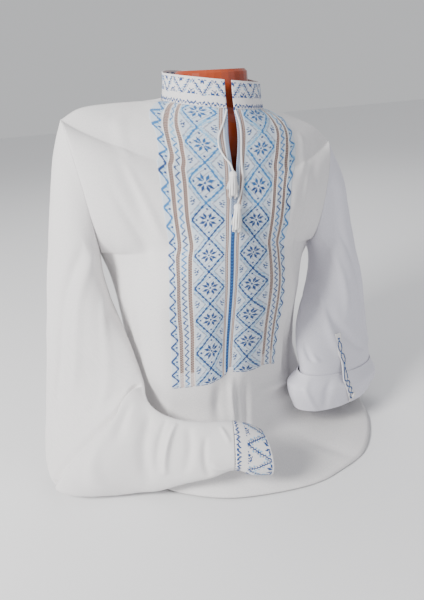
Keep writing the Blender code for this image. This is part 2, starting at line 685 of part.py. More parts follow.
def make_tassel(name, across, level, length, material):
    """Tassel: a tied head with its strands drawn out of the face below it."""
    mesh = bmesh.new()
    rings = []
    for radius, depth in TASSEL_OUTLINE:
        ring = []
        for column in range(TASSEL_SECTORS):
            angle = 2.0 * math.pi * column / TASSEL_SECTORS
            ring.append(mesh.verts.new((radius * math.cos(angle), radius * math.sin(angle), -depth)))
        rings.append(ring)
    mesh.faces.new(list(reversed(rings[0])))
    root_radius, root_depth = TASSEL_OUTLINE[-1]
    roots = []
    for share in TASSEL_ROOTS:
        ring = []
        for column in range(TASSEL_SECTORS):
            angle = 2.0 * math.pi * column / TASSEL_SECTORS
            radius = root_radius * share
            ring.append(mesh.verts.new((radius * math.cos(angle), radius * math.sin(angle), -root_depth)))
        rings.append(ring)
    for number, (low, high) in enumerate(zip(rings, rings[1:])):
        for column in range(TASSEL_SECTORS):
            after = (column + 1) % TASSEL_SECTORS
            face = mesh.faces.new((low[column], low[after], high[after], high[column]))
            if number >= len(TASSEL_OUTLINE) - 1:
                roots.append(face)
    roots.append(mesh.faces.new(rings[-1]))
    bmesh.ops.recalc_face_normals(mesh, faces=mesh.faces[:])
    bmesh.ops.inset_individual(mesh, faces=roots, thickness=STRAND_PARTING, depth=0.0)
    strands = bmesh.ops.extrude_discrete_faces(mesh, faces=roots)["faces"]
    for number, face in enumerate(strands):
        middle = face.calc_center_median()
        reach = length * (1.0 - STRAND_UNEVEN * (1.0 - math.sin(STRAND_WAVE * number)))
        slide = Vector((middle.x * STRAND_SPLAY, middle.y * STRAND_SPLAY * STRAND_FLATNESS, -reach))
        for vert in face.verts:
            vert.co = middle + (vert.co - middle) * STRAND_TAPER + slide
    point, outward = front_place(across, level)
    below, outward_below = front_place(across, level + TASSEL_RUN)
    down = unit(below + outward_below * TASSEL_LIFT - point - outward * TASSEL_LIFT)
    side = unit(np.cross(down, outward))
    facing = np.cross(side, down)
    origin = point + outward * TASSEL_LIFT
    frame = Matrix([[side[axis], -facing[axis], -down[axis], origin[axis]] for axis in range(3)]
                   + [[0.0, 0.0, 0.0, 1.0]])
    bmesh.ops.transform(mesh, matrix=frame, verts=mesh.verts[:])
    bmesh.ops.recalc_face_normals(mesh, faces=mesh.faces[:])
    return add_piece(name, mesh, material)


def main():
    """Build every piece."""
    for piece in list(bpy.data.objects):
        bpy.data.objects.remove(piece, do_unlink=True)
    linen = make_material("white linen", (0.86, 0.86, 0.88), 0.85)
    stitched = make_material("embroidered linen", (0.45, 0.60, 0.75), 0.80)
    polished = make_material("polished brown form", (0.33, 0.05, 0.02), 0.25)
    make_form(polished)
    make_panel("front", -1, linen)
    make_panel("back", 1, linen)
    make_long_sleeve(linen, stitched)
    make_rolled_sleeve(linen)
    make_tab(stitched)
    make_button(linen)
    make_collar(stitched)
    make_cord("cord_right", CORD_RIGHT, linen)
    make_cord("cord_left", CORD_LEFT, linen)
    make_tassel("tassel_upper", *TASSEL_UPPER, linen)
    make_tassel("tassel_lower", *TASSEL_LOWER, linen)


main()
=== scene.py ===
"""Looks of the embroidered folk shirt on its dress form: linen with creases, counted embroidery, drawn
thread ladders, ties and tassels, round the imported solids.  Metres, +Z up, the front faces -Y.
"""

import json
import math

import bmesh
import bpy
import numpy as np
from mathutils import Matrix, Vector

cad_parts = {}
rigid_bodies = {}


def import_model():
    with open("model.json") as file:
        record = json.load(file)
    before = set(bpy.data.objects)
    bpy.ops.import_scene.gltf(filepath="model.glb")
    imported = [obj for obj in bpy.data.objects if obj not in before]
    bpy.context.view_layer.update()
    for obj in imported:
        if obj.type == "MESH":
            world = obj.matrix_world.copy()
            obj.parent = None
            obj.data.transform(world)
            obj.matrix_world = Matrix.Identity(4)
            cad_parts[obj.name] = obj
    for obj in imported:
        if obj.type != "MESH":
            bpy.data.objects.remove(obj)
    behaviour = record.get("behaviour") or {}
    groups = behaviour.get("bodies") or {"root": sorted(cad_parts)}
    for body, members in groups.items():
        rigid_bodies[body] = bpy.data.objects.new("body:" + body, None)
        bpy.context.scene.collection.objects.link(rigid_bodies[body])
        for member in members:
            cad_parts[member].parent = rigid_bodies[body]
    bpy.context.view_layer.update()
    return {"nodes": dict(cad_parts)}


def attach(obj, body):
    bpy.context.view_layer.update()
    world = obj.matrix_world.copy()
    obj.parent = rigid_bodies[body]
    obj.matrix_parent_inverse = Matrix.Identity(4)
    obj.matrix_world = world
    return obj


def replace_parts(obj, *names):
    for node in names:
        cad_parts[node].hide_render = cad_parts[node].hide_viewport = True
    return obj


# Cloth and thread sizes

CLOTH = 0.0007            # thickness of the shown linen
CELL = 0.00145            # one counted stitch
STITCH_HEIGHT = 0.00035
STITCH_BEVEL = CELL * 0.22
PANEL_LIFT = 0.0003       # the stitched part of the front stands this far off the plain linen
CORD_SIZE = 0.0026
CORD_STEPS = 7            # steps of a cord between two rows of its route
RIGHT, LEFT = -1, 1
TIP, UNDERARM = 4.0, 7.0
SLIT_SPREAD = 0.016
SLIT_EDGE = 0.003
SLIT_END = 5.0
PANEL_END = 10.2          # body level where the stitched panel ends
LAST_LEVEL = 13.0
FOLD_SIDEWAYS = 0.35      # how much the folds next to a side seam stand out to that side
WALL = 0.0018             # thickness of the solids' walls
SEAM = 0.0003             # gap between two solids at a seam
NECK_RADIUS = 0.079
NECK_MIDDLE = (0.008, 0.010)
COLLAR_HEIGHT = 0.040
COLLAR_STITCH = 0.0018    # way round the collar from one stitch to the next
COLLAR_CLOTH = 0.0012
CUFF_LENGTH = 0.058
CUFF_STITCH = 0.0016
ROLL_CLOTH = 0.0016
COLLAR_GAP = 0.011
BORDER_PITCH = 0.0335     # from one rhomb to the next on the cuff and the collar
BODY_SPAN = (0.42, 0.046)     # metres of the body's whole way across, and of one level
SLEEVE_SPAN = (0.36, 0.034)   # metres round a sleeve, and of one level
MIDDLE_OF_BODY = np.array([0.0, 0.0, 0.3])

# Rows and columns of each cloth's grid
FRONT_GRID = (236, 141)
BACK_GRID = (200, 121)
LONG_GRID = (280, 150)
CUFF_GRID = (41, 116)
SHORT_GRID = (170, 150)
ROLL_GRID = (40, 170)
COLLAR_GRID = (28, 262)
TAB_GRID = (62, 11)

# The same tables as the solids: shoulder and side seams (level, x, y, z)
SHOULDER = {
    RIGHT: [(0, -0.072, 0.010, 0.560), (1, -0.110, 0.006, 0.562), (2, -0.155, 0.002, 0.563),
            (3, -0.200, 0.000, 0.560), (4, -0.231, -0.002, 0.546)],
    LEFT: [(0, 0.086, 0.010, 0.538), (1, 0.116, 0.006, 0.529), (2, 0.148, 0.002, 0.516),
           (3, 0.179, 0.000, 0.500), (4, 0.205, -0.002, 0.474)],
}
SIDE = {
    RIGHT: [(7, -0.203, -0.028, 0.345), (8, -0.191, -0.018, 0.300), (9, -0.182, -0.008, 0.240),
            (10, -0.177, 0.000, 0.175), (11, -0.177, 0.004, 0.110), (12, -0.188, 0.005, 0.045),
            (13, -0.210, 0.006, 0.0026)],
    LEFT: [(7, 0.166, -0.010, 0.310), (8, 0.152, 0.000, 0.268), (9, 0.141, 0.008, 0.212),
           (10, 0.137, 0.014, 0.155), (11, 0.141, 0.014, 0.094), (12, 0.168, 0.000, 0.026),
           (13, 0.240, -0.066, 0.0026)],
}

# Middle of the front and of the back: level, x, y, z, roundness of the -X half, roundness of the +X half
FRONT_LINE = [
    (0, 0.012, -0.069, 0.545, 1.00, 1.00), (1, 0.009, -0.083, 0.522, 0.95, 0.96),
    (2, 0.005, -0.096, 0.500, 0.90, 0.92), (3, 0.001, -0.108, 0.478, 0.85, 0.90),
    (4, -0.004, -0.121, 0.456, 0.82, 0.92), (5, -0.012, -0.140, 0.424, 0.81, 0.95),
    (6, -0.021, -0.157, 0.391, 0.83, 0.98), (7, -0.030, -0.171, 0.356, 0.87, 1.02),
    (8, -0.037, -0.178, 0.310, 0.91, 1.06), (9, -0.045, -0.181, 0.250, 0.93, 1.10),
    (10, -0.051, -0.182, 0.176, 0.93, 1.14), (11, -0.050, -0.187, 0.116, 0.93, 1.26),
    (12, -0.044, -0.216, 0.052, 0.94, 1.50), (13, -0.034, -0.264, 0.0026, 0.96, 0.80),
]
BACK_LINE = [
    (0, 0.006, 0.088, 0.558, 1.00, 1.00), (1, 0.006, 0.098, 0.545, 0.95, 0.95),
    (2, 0.005, 0.108, 0.526, 0.90, 0.90), (3, 0.004, 0.118, 0.500, 0.86, 0.86),
    (4, 0.002, 0.126, 0.468, 0.84, 0.84), (5, 0.000, 0.132, 0.428, 0.82, 0.84),
    (6, -0.002, 0.135, 0.386, 0.80, 0.84), (7, -0.004, 0.136, 0.342, 0.80, 0.84),
    (8, -0.006, 0.136, 0.294, 0.80, 0.84), (9, -0.008, 0.138, 0.236, 0.80, 0.82),
    (10, -0.010, 0.142, 0.172, 0.80, 0.80), (11, -0.010, 0.149, 0.108, 0.80, 0.80),
    (12, -0.009, 0.160, 0.047, 0.84, 0.84), (13, -0.008, 0.176, 0.0026, 0.90, 0.90),
]

# Large soft folds: place across, drift per level, width, first level, last level, height
FRONT_FOLDS = [
    (0.30, -0.004, 0.060, 7.5, 13.0, 0.009), (0.50, 0.004, 0.050, 8.0, 12.6, -0.007),
    (0.66, 0.004, 0.050, 8.0, 13.0, -0.008), (0.78, 0.000, 0.030, 5.0, 12.8, 0.006),
    (0.88, -0.004, 0.030, 4.5, 12.0, -0.006), (0.16, 0.004, 0.035, 4.0, 11.5, -0.006),
    (0.08, 0.000, 0.030, 6.0, 12.0, 0.005), (0.20, 0.000, 0.030, 10.5, 13.6, 0.006),
]
BACK_FOLDS = [
    (0.24, 0.002, 0.035, 3.0, 12.6, 0.008), (0.36, 0.000, 0.030, 5.0, 12.4, -0.008),
    (0.50, 0.002, 0.040, 2.0, 12.8, 0.010), (0.63, -0.002, 0.030, 4.5, 12.4, -0.008),
    (0.76, -0.003, 0.035, 3.5, 12.6, 0.009), (0.12, 0.000, 0.030, 8.0, 12.6, 0.006),
    (0.88, 0.000, 0.030, 8.0, 12.6, 0.006),
]
ARMHOLE_DEPTH = 0.058
ARMHOLE_LEAN = {RIGHT: 0.00, LEFT: 0.28}

# Sleeves and roll: level, outer edge (x, y, z), inner edge (x, y, z), depth between the two layers
LONG_SLEEVE = [
    (0, -0.231, -0.002, 0.546, -0.203, -0.028, 0.345, 0.116),
    (1, -0.249, -0.003, 0.500, -0.203, -0.040, 0.314, 0.108),
    (2, -0.265, -0.005, 0.432, -0.200, -0.057, 0.288, 0.098),
    (3, -0.279, -0.007, 0.352, -0.196, -0.075, 0.262, 0.084),
    (4, -0.293, -0.011, 0.272, -0.190, -0.091, 0.236, 0.068),
    (5, -0.308, -0.018, 0.190, -0.183, -0.106, 0.210, 0.056),
    (6, -0.322, -0.032, 0.112, -0.177, -0.119, 0.182, 0.048),
    (7, -0.336, -0.062, 0.046, -0.173, -0.131, 0.162, 0.043),
    (8, -0.338, -0.106, 0.020, -0.173, -0.142, 0.154, 0.034),
    (9, -0.326, -0.146, 0.014, -0.174, -0.153, 0.148, 0.030),
    (10, -0.286, -0.172, 0.011, -0.171, -0.168, 0.140, 0.033),
    (11, -0.222, -0.193, 0.008, -0.158, -0.186, 0.131, 0.037),
    (12, -0.178, -0.212, 0.015, -0.136, -0.204, 0.125, 0.037),
    (13, -0.136, -0.236, 0.034, -0.106, -0.218, 0.123, 0.038),
    (14, -0.104, -0.250, 0.045, -0.080, -0.224, 0.121, 0.039),
    (15, -0.072, -0.260, 0.057, -0.061, -0.227, 0.119, 0.040),
    (16, -0.046, -0.267, 0.046, -0.038, -0.230, 0.110, 0.042),
    (17, -0.018, -0.270, 0.041, -0.020, -0.233, 0.097, 0.044),
]
SHORT_SLEEVE = [
    (0, 0.205, -0.002, 0.474, 0.166, -0.010, 0.310, 0.116),
    (1, 0.221, -0.003, 0.430, 0.169, -0.017, 0.280, 0.108),
    (2, 0.230, -0.004, 0.378, 0.165, -0.030, 0.250, 0.100),
    (3, 0.240, -0.006, 0.315, 0.151, -0.050, 0.224, 0.092),
    (4, 0.253, -0.010, 0.240, 0.127, -0.078, 0.202, 0.084),
    (5, 0.262, -0.016, 0.176, 0.102, -0.110, 0.182, 0.075),
    (6, 0.268, -0.025, 0.120, 0.090, -0.133, 0.158, 0.068),
    (7, 0.270, -0.036, 0.082, 0.091, -0.142, 0.130, 0.066),
    (8, 0.262, -0.046, 0.056, 0.089, -0.145, 0.096, 0.067),
    (9, 0.249, -0.056, 0.034, 0.083, -0.148, 0.064, 0.072),
]
ROLL = [
    (0, 0.279, -0.041, 0.068, 0.067, -0.150, 0.126, 0.086),
    (1, 0.272, -0.048, 0.050, 0.066, -0.153, 0.095, 0.088),
    (2, 0.257, -0.056, 0.031, 0.077, -0.1512, 0.061, 0.081),
]
CORD_RIGHT = [
    (0.474, 0.10, 0.0016), (0.463, 0.85, 0.0016), (0.452, 1.60, 0.0016), (0.452, 2.30, 0.0016),
    (0.466, 2.90, 0.0020), (0.482, 3.35, 0.0040), (0.490, 3.83, 0.0062),
]
CORD_LEFT = [
    (0.526, 0.10, 0.0016), (0.530, 0.85, 0.0016), (0.525, 1.80, 0.0016), (0.522, 2.70, 0.0016),
    (0.525, 3.50, 0.0016), (0.528, 4.15, 0.0018), (0.520, 4.70, 0.0040), (0.507, 5.135, 0.0062),
]

# Where the strips of the stitched panel run on the front: body level, then the place across of the
# panel's left edge, its two ladders, the middle of its left band, its middle, and the same mirrored to
# its right edge
STRIP_LINES = [
    (0.0, 0.010, 0.130, 0.190, 0.310, 0.500, 0.665, 0.790, 0.870, 0.960),
    (1.0, 0.115, 0.215, 0.262, 0.355, 0.500, 0.635, 0.740, 0.815, 0.885),
    (2.3, 0.236, 0.278, 0.323, 0.398, 0.500, 0.602, 0.684, 0.745, 0.800),
    (3.2, 0.255, 0.296, 0.332, 0.402, 0.500, 0.596, 0.672, 0.728, 0.785),
    (4.5, 0.259, 0.296, 0.335, 0.400, 0.500, 0.590, 0.662, 0.710, 0.745),
    (5.8, 0.250, 0.288, 0.328, 0.400, 0.498, 0.595, 0.672, 0.720, 0.760),
    (7.0, 0.270, 0.305, 0.350, 0.415, 0.501, 0.590, 0.670, 0.715, 0.750),
    (8.0, 0.312, 0.343, 0.380, 0.440, 0.505, 0.577, 0.666, 0.706, 0.733),
    (8.9, 0.330, 0.363, 0.398, 0.450, 0.507, 0.576, 0.661, 0.698, 0.725),
    (9.5, 0.328, 0.364, 0.397, 0.453, 0.506, 0.578, 0.662, 0.697, 0.720),
    (10.2, 0.322, 0.360, 0.394, 0.448, 0.503, 0.575, 0.660, 0.698, 0.715),
]
STRIP_PLACES = [-0.097, -0.0815, -0.064, -0.035, 0.0, 0.035, 0.064, 0.0815, 0.097]

# Body level of each rhomb's middle, counted down each band, with the neck seam and the panel's end
RHOMB_LEVELS = [
    (0.8, 0.00), (1.0, 0.35), (2.0, 2.35), (3.0, 4.45), (4.0, 5.75), (5.0, 7.00), (6.0, 8.00),
    (7.0, 8.80), (8.0, 9.45), (9.05, 10.2),
]
RHOMB_PITCH = 0.058
BAND_HALF = 0.0225


# Curves and surfaces

def curve(table, places):
    """Values of a table at places between its rows, joined by smooth curves."""
    rows = np.array(table, dtype=float)
    at = rows[:, 0]
    values = rows[:, 1:]
    places = np.atleast_1d(np.array(places, dtype=float))
    slopes = np.gradient(values, at, axis=0)
    row = np.clip(np.searchsorted(at, places) - 1, 0, len(at) - 2)
    step = (at[row + 1] - at[row])[:, None]
    t = np.clip((places - at[row])[:, None] / step, 0.0, 1.0)
    rise = t * t * (3.0 - 2.0 * t)
    leave = t * (1.0 - t) ** 2 * step
    arrive = t * t * (t - 1.0) * step
    between = values[row] * (1.0 - rise) + values[row + 1] * rise
    return between + slopes[row] * leave + slopes[row + 1] * arrive


def fade(value, start, end):
    """0 before start, 1 after end, with a soft ramp between them."""
    t = np.clip((np.asarray(value, dtype=float) - start) / (end - start), 0.0, 1.0)
    return t * t * (3.0 - 2.0 * t)


def unit(vectors):
    """Vectors made one long."""
    return vectors / np.maximum(np.linalg.norm(vectors, axis=-1, keepdims=True), 1e-12)


def armhole(side, turn, face):
    """Point of an armhole: turn 0 is the shoulder tip and 1 the underarm."""
    top = curve(SHOULDER[side], TIP)[0]
    low = curve(SIDE[side], UNDERARM)[0]
    angle = math.pi * turn
    point = (top + low) / 2.0 + (top - low) / 2.0 * math.cos(angle)
    point[1] += face * ARMHOLE_DEPTH * math.sin(angle)
    point[0] -= side * ARMHOLE_LEAN[side] * ARMHOLE_DEPTH * math.sin(angle)
    return point


def body_edge(side, face, level):
    """Where the front (face -1) or back (face 1) ends at one side of a level."""
    if level <= TIP:
        return curve(SHOULDER[side], level)[0]
    if level < UNDERARM:
        return armhole(side, (level - TIP) / (UNDERARM - TIP), face)
    return curve(SIDE[side], level)[0]


def body_grid(face, across, levels):
    """Points of the front or back: across holds a row of places for each level."""
    start = np.array([body_edge(RIGHT, face, level) for level in levels])[:, None, :]
    end = np.array([body_edge(LEFT, face, level) for level in levels])[:, None, :]
    line = curve(FRONT_LINE if face < 0 else BACK_LINE, levels)[:, None, :]
    level = np.array(levels)[:, None]
    roundness = line[..., 3] + (line[..., 4] - line[..., 3]) * fade(across, 0.35, 0.65)
    rise = np.sin(math.pi * across)
    lean = np.copysign(np.abs(np.cos(math.pi * across)) ** roundness, 0.5 - across)
    wrapped = 0.5 - 0.5 * lean
    wrap = 1.0 - fade(level, 0.5, TIP) + fade(level, UNDERARM - 0.5, UNDERARM + 2.0)
    chord = start + (end - start) * (across + (wrapped - across) * wrap)[..., None]
    grid = chord + (line[..., :3] - (start + end) / 2.0) * (np.maximum(rise, 0.0) ** roundness)[..., None]
    outward = np.stack([FOLD_SIDEWAYS * np.sin(math.pi * (across - 0.5)), np.full_like(across, face),
                        np.zeros_like(across)], axis=-1)
    folds = FRONT_FOLDS if face < 0 else BACK_FOLDS
    return grid + unit(outward) * fold_height(folds, across, level)[..., None]


def fold_height(folds, across, level):
    """Height of the large soft folds."""
    height = np.zeros_like(across)
    for place, drift, width, first, last, size in folds:
        middle = place + drift * (level - first)
        ends = fade(level, first - 1.0, first + 1.5) * (1.0 - fade(level, last - 0.6, last + 0.6))
        height += size * np.exp(-((across - middle) / width) ** 2) * ends
    return height * np.maximum(np.sin(math.pi * across), 0.0) ** 0.5


def tube_grid(table, levels, count, side):
    """Grid of a flattened tube: rows along it, columns round it, from its outer edge round by the back."""
    values = curve(table, levels)
    middle = (values[:, 0:3] + values[:, 3:6]) / 2.0
    span = (values[:, 0:3] - values[:, 3:6]) / 2.0
    half_depth = values[:, 6:7] / 2.0
    ahead = curve(table, np.array(levels) + 0.25)
    behind = curve(table, np.array(levels) - 0.25)
    along = (ahead[:, 0:3] + ahead[:, 3:6] - behind[:, 0:3] - behind[:, 3:6]) / 2.0
    back = np.array([[0.0, 1.0, 0.0]])
    edge = unit(span)
    square = unit(np.cross(span, along)) * side
    upright = unit(back - edge * np.sum(back * edge, axis=1, keepdims=True))
    level = np.array(levels)[:, None]
    elbow = fade(level, 2.0, 6.0) if table is LONG_SLEEVE else 0.0
    turned = np.ones_like(level) if table is ROLL else fade(level, 0.0, 1.5)
    facing = unit(upright * (1.0 - elbow) + square * elbow) * turned + back * (1.0 - turned)
    lean = side * ARMHOLE_LEAN[side] * (1.0 - turned)
    angle = 2.0 * math.pi * np.arange(count) / count
    grid = (middle[:, None, :] + span[:, None, :] * np.cos(angle)[None, :, None]
            + (facing * half_depth)[:, None, :] * np.sin(angle)[None, :, None])
    grid[..., 0] -= (lean * half_depth) * np.abs(np.sin(angle))[None, :]
    return grid


def directions(grid, around=False):
    """Direction out of the cloth at each point of a grid."""
    if around:
        sideways = np.roll(grid, -1, axis=1) - np.roll(grid, 1, axis=1)
    else:
        sideways = np.gradient(grid, axis=1)
    return unit(np.cross(np.gradient(grid, axis=0), sideways))


# Unevenness of the cloth

def soft_noise(places, size, seed):
    """Smooth random height, -1 to 1, over points in space; size is the length of one swell on each axis."""
    scaled = places / np.array(size)
    cell = np.floor(scaled).astype(np.int64)
    part = scaled - cell
    part = part * part * (3.0 - 2.0 * part)
    total = np.zeros(places.shape[:-1])
    for corner in range(8):
        offset = np.array([corner & 1, corner >> 1 & 1, corner >> 2 & 1])
        key = cell + offset
        mixed = key[..., 0] * 73856093 ^ key[..., 1] * 19349663 ^ key[..., 2] * 83492791 ^ seed * 2654435761
        value = (mixed % 10007) / 5003.5 - 1.0
        weight = np.prod(np.where(offset == 1, part, 1.0 - part), axis=-1)
        total += value * weight
    return total


CREASE_SHARE = 2.0
SWELL = 0.0008            # height of the cloth's wide unevenness
RIPPLE = 0.0003           # height of its fine unevenness


def creases(strokes, across, along, size):
    """Height of listed creases: each a stroke from (across, along) to (across, along), its half width
    in metres and its height.  size is the cloth's width and one level's length in metres."""
    height = np.zeros(np.broadcast(across, along).shape)
    for (a0, l0), (a1, l1), width, rise in strokes:
        px = (across - a0) * size[0]
        py = (along - l0) * size[1]
        qx = (a1 - a0) * size[0]
        qy = (l1 - l0) * size[1]
        length = math.hypot(qx, qy)
        t = np.clip((px * qx + py * qy) / length ** 2, 0.0, 1.0)
        bend = 0.10 * length * np.sin(math.pi * t) * (1.0 if (a0 * 97.0 + l0 * 31.0) % 2.0 > 1.0 else -1.0)
        away = np.hypot(px - qx * t, py - qy * t + bend * 0.4)
        taper = np.sin(math.pi * np.clip(t * 0.9 + 0.05, 0.0, 1.0)) ** 0.6
        height += CREASE_SHARE * rise * taper * np.exp(-(away / width) ** 2)
    return height


# Meshes

def grid_mesh(outer, around):
    """Mesh over a grid of points, and those points, with the first column repeated where it closes."""
    points = np.concatenate([outer, outer[:, :1]], axis=1) if around else outer
    rows, columns = points.shape[:2]
    mesh = bmesh.new()
    bmesh.ops.create_grid(mesh, x_segments=columns - 1, y_segments=rows - 1, size=0.5)
    for vert, place in zip(mesh.verts, points.reshape(-1, 3)):
        vert.co = place
    return mesh, points


def face_outwards(mesh, points, outer, facing, around):
    """Turns all faces over where the middle one looks into the cloth."""
    mesh.normal_update()
    mesh.faces.ensure_lookup_table()
    face = mesh.faces[len(mesh.faces) // 2]
    middle = np.array(face.calc_center_median())
    near = np.argmin(np.linalg.norm(points.reshape(-1, 3) - middle, axis=1))
    if around:
        normal = middle - outer.mean(axis=1)[near // points.shape[1]]
    else:
        normal = facing.reshape(-1, 3)[near]
    if float(np.dot(np.array(face.normal), normal)) < 0.0:
        bmesh.ops.reverse_faces(mesh, faces=mesh.faces[:])


def shell(name, outer, facing, materials, around=False, keep=None, indices=None, thickness=CLOTH):
    """Thin cloth over a grid of points.  facing points out of it, keep says which cells are cloth, and
    indices gives each cell's place in materials."""
    mesh, points = grid_mesh(outer, around)
    down = np.cumsum(np.linalg.norm(np.diff(points, axis=0, prepend=points[:1]), axis=2), axis=0)
    side = np.cumsum(np.linalg.norm(np.diff(points, axis=1, prepend=points[:, :1]), axis=2), axis=1)
    places = np.stack([side, down], axis=-1).reshape(-1, 2)
    layer = mesh.loops.layers.uv.new("cloth")
    mesh.verts.index_update()
    for face in mesh.faces:
        for loop in face.loops:
            loop[layer].uv = places[loop.vert.index]
    if indices is not None:
        for face, index in zip(mesh.faces, indices.ravel()):
            face.material_index = int(index)
    if keep is not None:
        gone = [face for face, kept in zip(mesh.faces, keep.ravel()) if not kept]
        bmesh.ops.delete(mesh, geom=gone, context="FACES")
    if around:
        bmesh.ops.remove_doubles(mesh, verts=mesh.verts[:], dist=0.00001)
    face_outwards(mesh, points, outer, facing, around)
    piece = finish_piece(name, mesh, materials)
    wall = piece.modifiers.new("cloth thickness", "SOLIDIFY")
    wall.thickness = thickness
    wall.offset = -1.0
    return piece


def stitched(name, outer, facing, colours, materials, around=False):
    """Raised counted stitches on the cells of a grid.  colours holds 0 for bare cloth, then 1 and up."""
    mesh, points = grid_mesh(outer, around)
    for face, colour in zip(mesh.faces, colours.ravel()):
        face.material_index = max(0, int(colour) - 1)
    gone = [face for face, colour in zip(mesh.faces, colours.ravel()) if not colour]
    bmesh.ops.delete(mesh, geom=gone, context="FACES")
    face_outwards(mesh, points, outer, facing, around)
    bmesh.ops.inset_individual(mesh, faces=mesh.faces[:], thickness=STITCH_BEVEL, depth=STITCH_HEIGHT)
    return finish_piece(name, mesh, materials)


def finish_piece(name, mesh, materials):
    """Object of a finished bmesh, riding on the part's only body."""
    data = bpy.data.meshes.new(name)
    mesh.to_mesh(data)
    mesh.free()
    for material in materials:
        data.materials.append(material)
    data.shade_smooth()
    piece = bpy.data.objects.new(name, data)
    bpy.context.scene.collection.objects.link(piece)
    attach(piece, "root")
    return piece


# Finishes

def new_finish(name, colour, roughness):
    """Material with a named colour and roughness, and its shader."""
    finish = bpy.data.materials.new(name)
    finish.use_nodes = True
    shader = finish.node_tree.nodes["Principled BSDF"]
    shader.inputs["Base Color"].default_value = (*colour, 1.0)
    shader.inputs["Roughness"].default_value = roughness
    return finish, shader


def colour_ramp(tree, source, low, high):
    """Colour that goes from low to high with its source: each is a place on the ramp and a colour."""
    ramp = tree.nodes.new("ShaderNodeValToRGB")
    for stop, (position, colour) in zip(ramp.color_ramp.elements, (low, high)):
        stop.position = position
        stop.color = (*colour, 1.0)
    tree.links.new(source, ramp.inputs["Fac"])
    return ramp.outputs["Color"]


def linen_finish(name, colour, shade):
    """Linen: slubbed threads both ways in its own map, in its colour and its bump."""
    finish, shader = new_finish(name, colour, 0.88)
    nodes = finish.node_tree.nodes
    links = finish.node_tree.links
    place = nodes.new("ShaderNodeUVMap")
    place.uv_map = "cloth"
    heights = []
    for stretch in ((260.0, 2600.0, 1.0), (2600.0, 260.0, 1.0)):
        turn = nodes.new("ShaderNodeMapping")
        turn.inputs["Scale"].default_value = stretch
        links.new(place.outputs["UV"], turn.inputs["Vector"])
        slubs = nodes.new("ShaderNodeTexNoise")
        slubs.inputs["Scale"].default_value = 1.0
        slubs.inputs["Detail"].default_value = 2.0
        links.new(turn.outputs["Vector"], slubs.inputs["Vector"])
        heights.append(slubs.outputs["Fac"])
    both = nodes.new("ShaderNodeMath")
    both.operation = "ADD"
    links.new(heights[0], both.inputs[0])
    links.new(heights[1], both.inputs[1])
    halve = nodes.new("ShaderNodeMath")
    halve.operation = "MULTIPLY"
    halve.inputs[1].default_value = 0.5
    links.new(both.outputs[0], halve.inputs[0])
    tint = colour_ramp(finish.node_tree, halve.outputs[0], (0.30, shade), (0.62, colour))
    links.new(tint, shader.inputs["Base Color"])
    bump = nodes.new("ShaderNodeBump")
    bump.inputs["Strength"].default_value = 0.25
    bump.inputs["Distance"].default_value = 0.0004
    links.new(halve.outputs[0], bump.inputs["Height"])
    links.new(bump.outputs["Normal"], shader.inputs["Normal"])
    return finish


def thread_finish(name, colour):
    """Embroidery thread: one colour with a slight sheen."""
    finish, shader = new_finish(name, colour, 0.62)
    shader.inputs["Sheen Weight"].default_value = 0.25
    return finish


def polish_finish():
    """Polished red-brown dress form."""
    finish, shader = new_finish("polished red-brown form", (0.33, 0.045, 0.012), 0.26)
    nodes = finish.node_tree.nodes
    links = finish.node_tree.links
    place = nodes.new("ShaderNodeTexCoord")
    cloud = nodes.new("ShaderNodeTexNoise")
    cloud.inputs["Scale"].default_value = 9.0
    links.new(place.outputs["Object"], cloud.inputs["Vector"])
    tint = colour_ramp(finish.node_tree, cloud.outputs["Fac"], (0.35, (0.24, 0.025, 0.008)),
                       (0.65, (0.42, 0.065, 0.018)))
    links.new(tint, shader.inputs["Base Color"])
    return finish


# Counted charts.  Each cell is one stitch: 0 bare linen, then the thread's place in the list of threads.

# Index 6 is no thread: it is the painted shade given to the bars of the drawn-thread ladders.
DARK, MIDDLE, PALE, GREY, WHITE, LADDER_PAINTED_SHADE = 1, 2, 3, 4, 5, 6
BAND_MIDDLE = 0.035
STRIP_HALF = 0.0036
CHEVRON = 0.0058

# The panel's two zigzags: place of the foot, height, length of a tooth, half the line's thickness
NARROW_FOOT, NARROW_HEIGHT, NARROW_TOOTH, NARROW_LINE = 0.0696, 0.0062, 0.0112, 0.0014
WIDE_FOOT, WIDE_HEIGHT, WIDE_TOOTH, WIDE_LINE = 0.0862, 0.0098, 0.0232, 0.0018

# Middles of the drawn-thread ladders, from the middle of the front, and their half width
LADDERS = (5.5 * CELL, 44.0 * CELL, 56.0 * CELL)
LADDER_HALF = 2.0 * CELL

# A quarter of the eight-petalled star, from its middle out to the right (columns) and up (rows)
STAR_QUARTER = [
    "...#....",
    "..##....",
    ".###....",
    ".###....",
    ".##.####",
    ".#.####.",
    "..####..",
    "#.......",
]

# Cells from a star's middle to the dots round it, along the band and across it
DOT_ALONG = 12
DOT_ACROSS = 10

# Small leaf and dots of a side triangle, from the band's edge inwards
LEAF = [
    ".##...",
    "..##..",
    "......",
    "##.##.",
    ".###..",
    "...##.",
    "##..#.",
    "......",
    ".##...",
]


# The same star and leaf, smaller, for the cuff and the collar: a quarter and a half
SMALL_STAR = [
    ".#....",
    ".##...",
    ".##...",
    "...###",
    "#.###.",
]
SMALL_LEAF = [
    "##.#..",
    "..##..",
    "##..#.",
    "###...",
    "......",
    "#.....",
]


def chart_read(rows, column, row):
    """1 where a chart made of text rows has a stitch at an array of cells."""
    table = np.array([[cell == "#" for cell in line] for line in rows])
    inside = (column >= 0) & (column < table.shape[1]) & (row >= 0) & (row < table.shape[0])
    return inside & table[np.clip(row, 0, table.shape[0] - 1), np.clip(column, 0, table.shape[1] - 1)]


def wave(place, length):
    """Zigzag between 0 and 1 with one tooth to each length."""
    turn = place / length
    return 2.0 * np.abs(turn - np.floor(turn + 0.5))


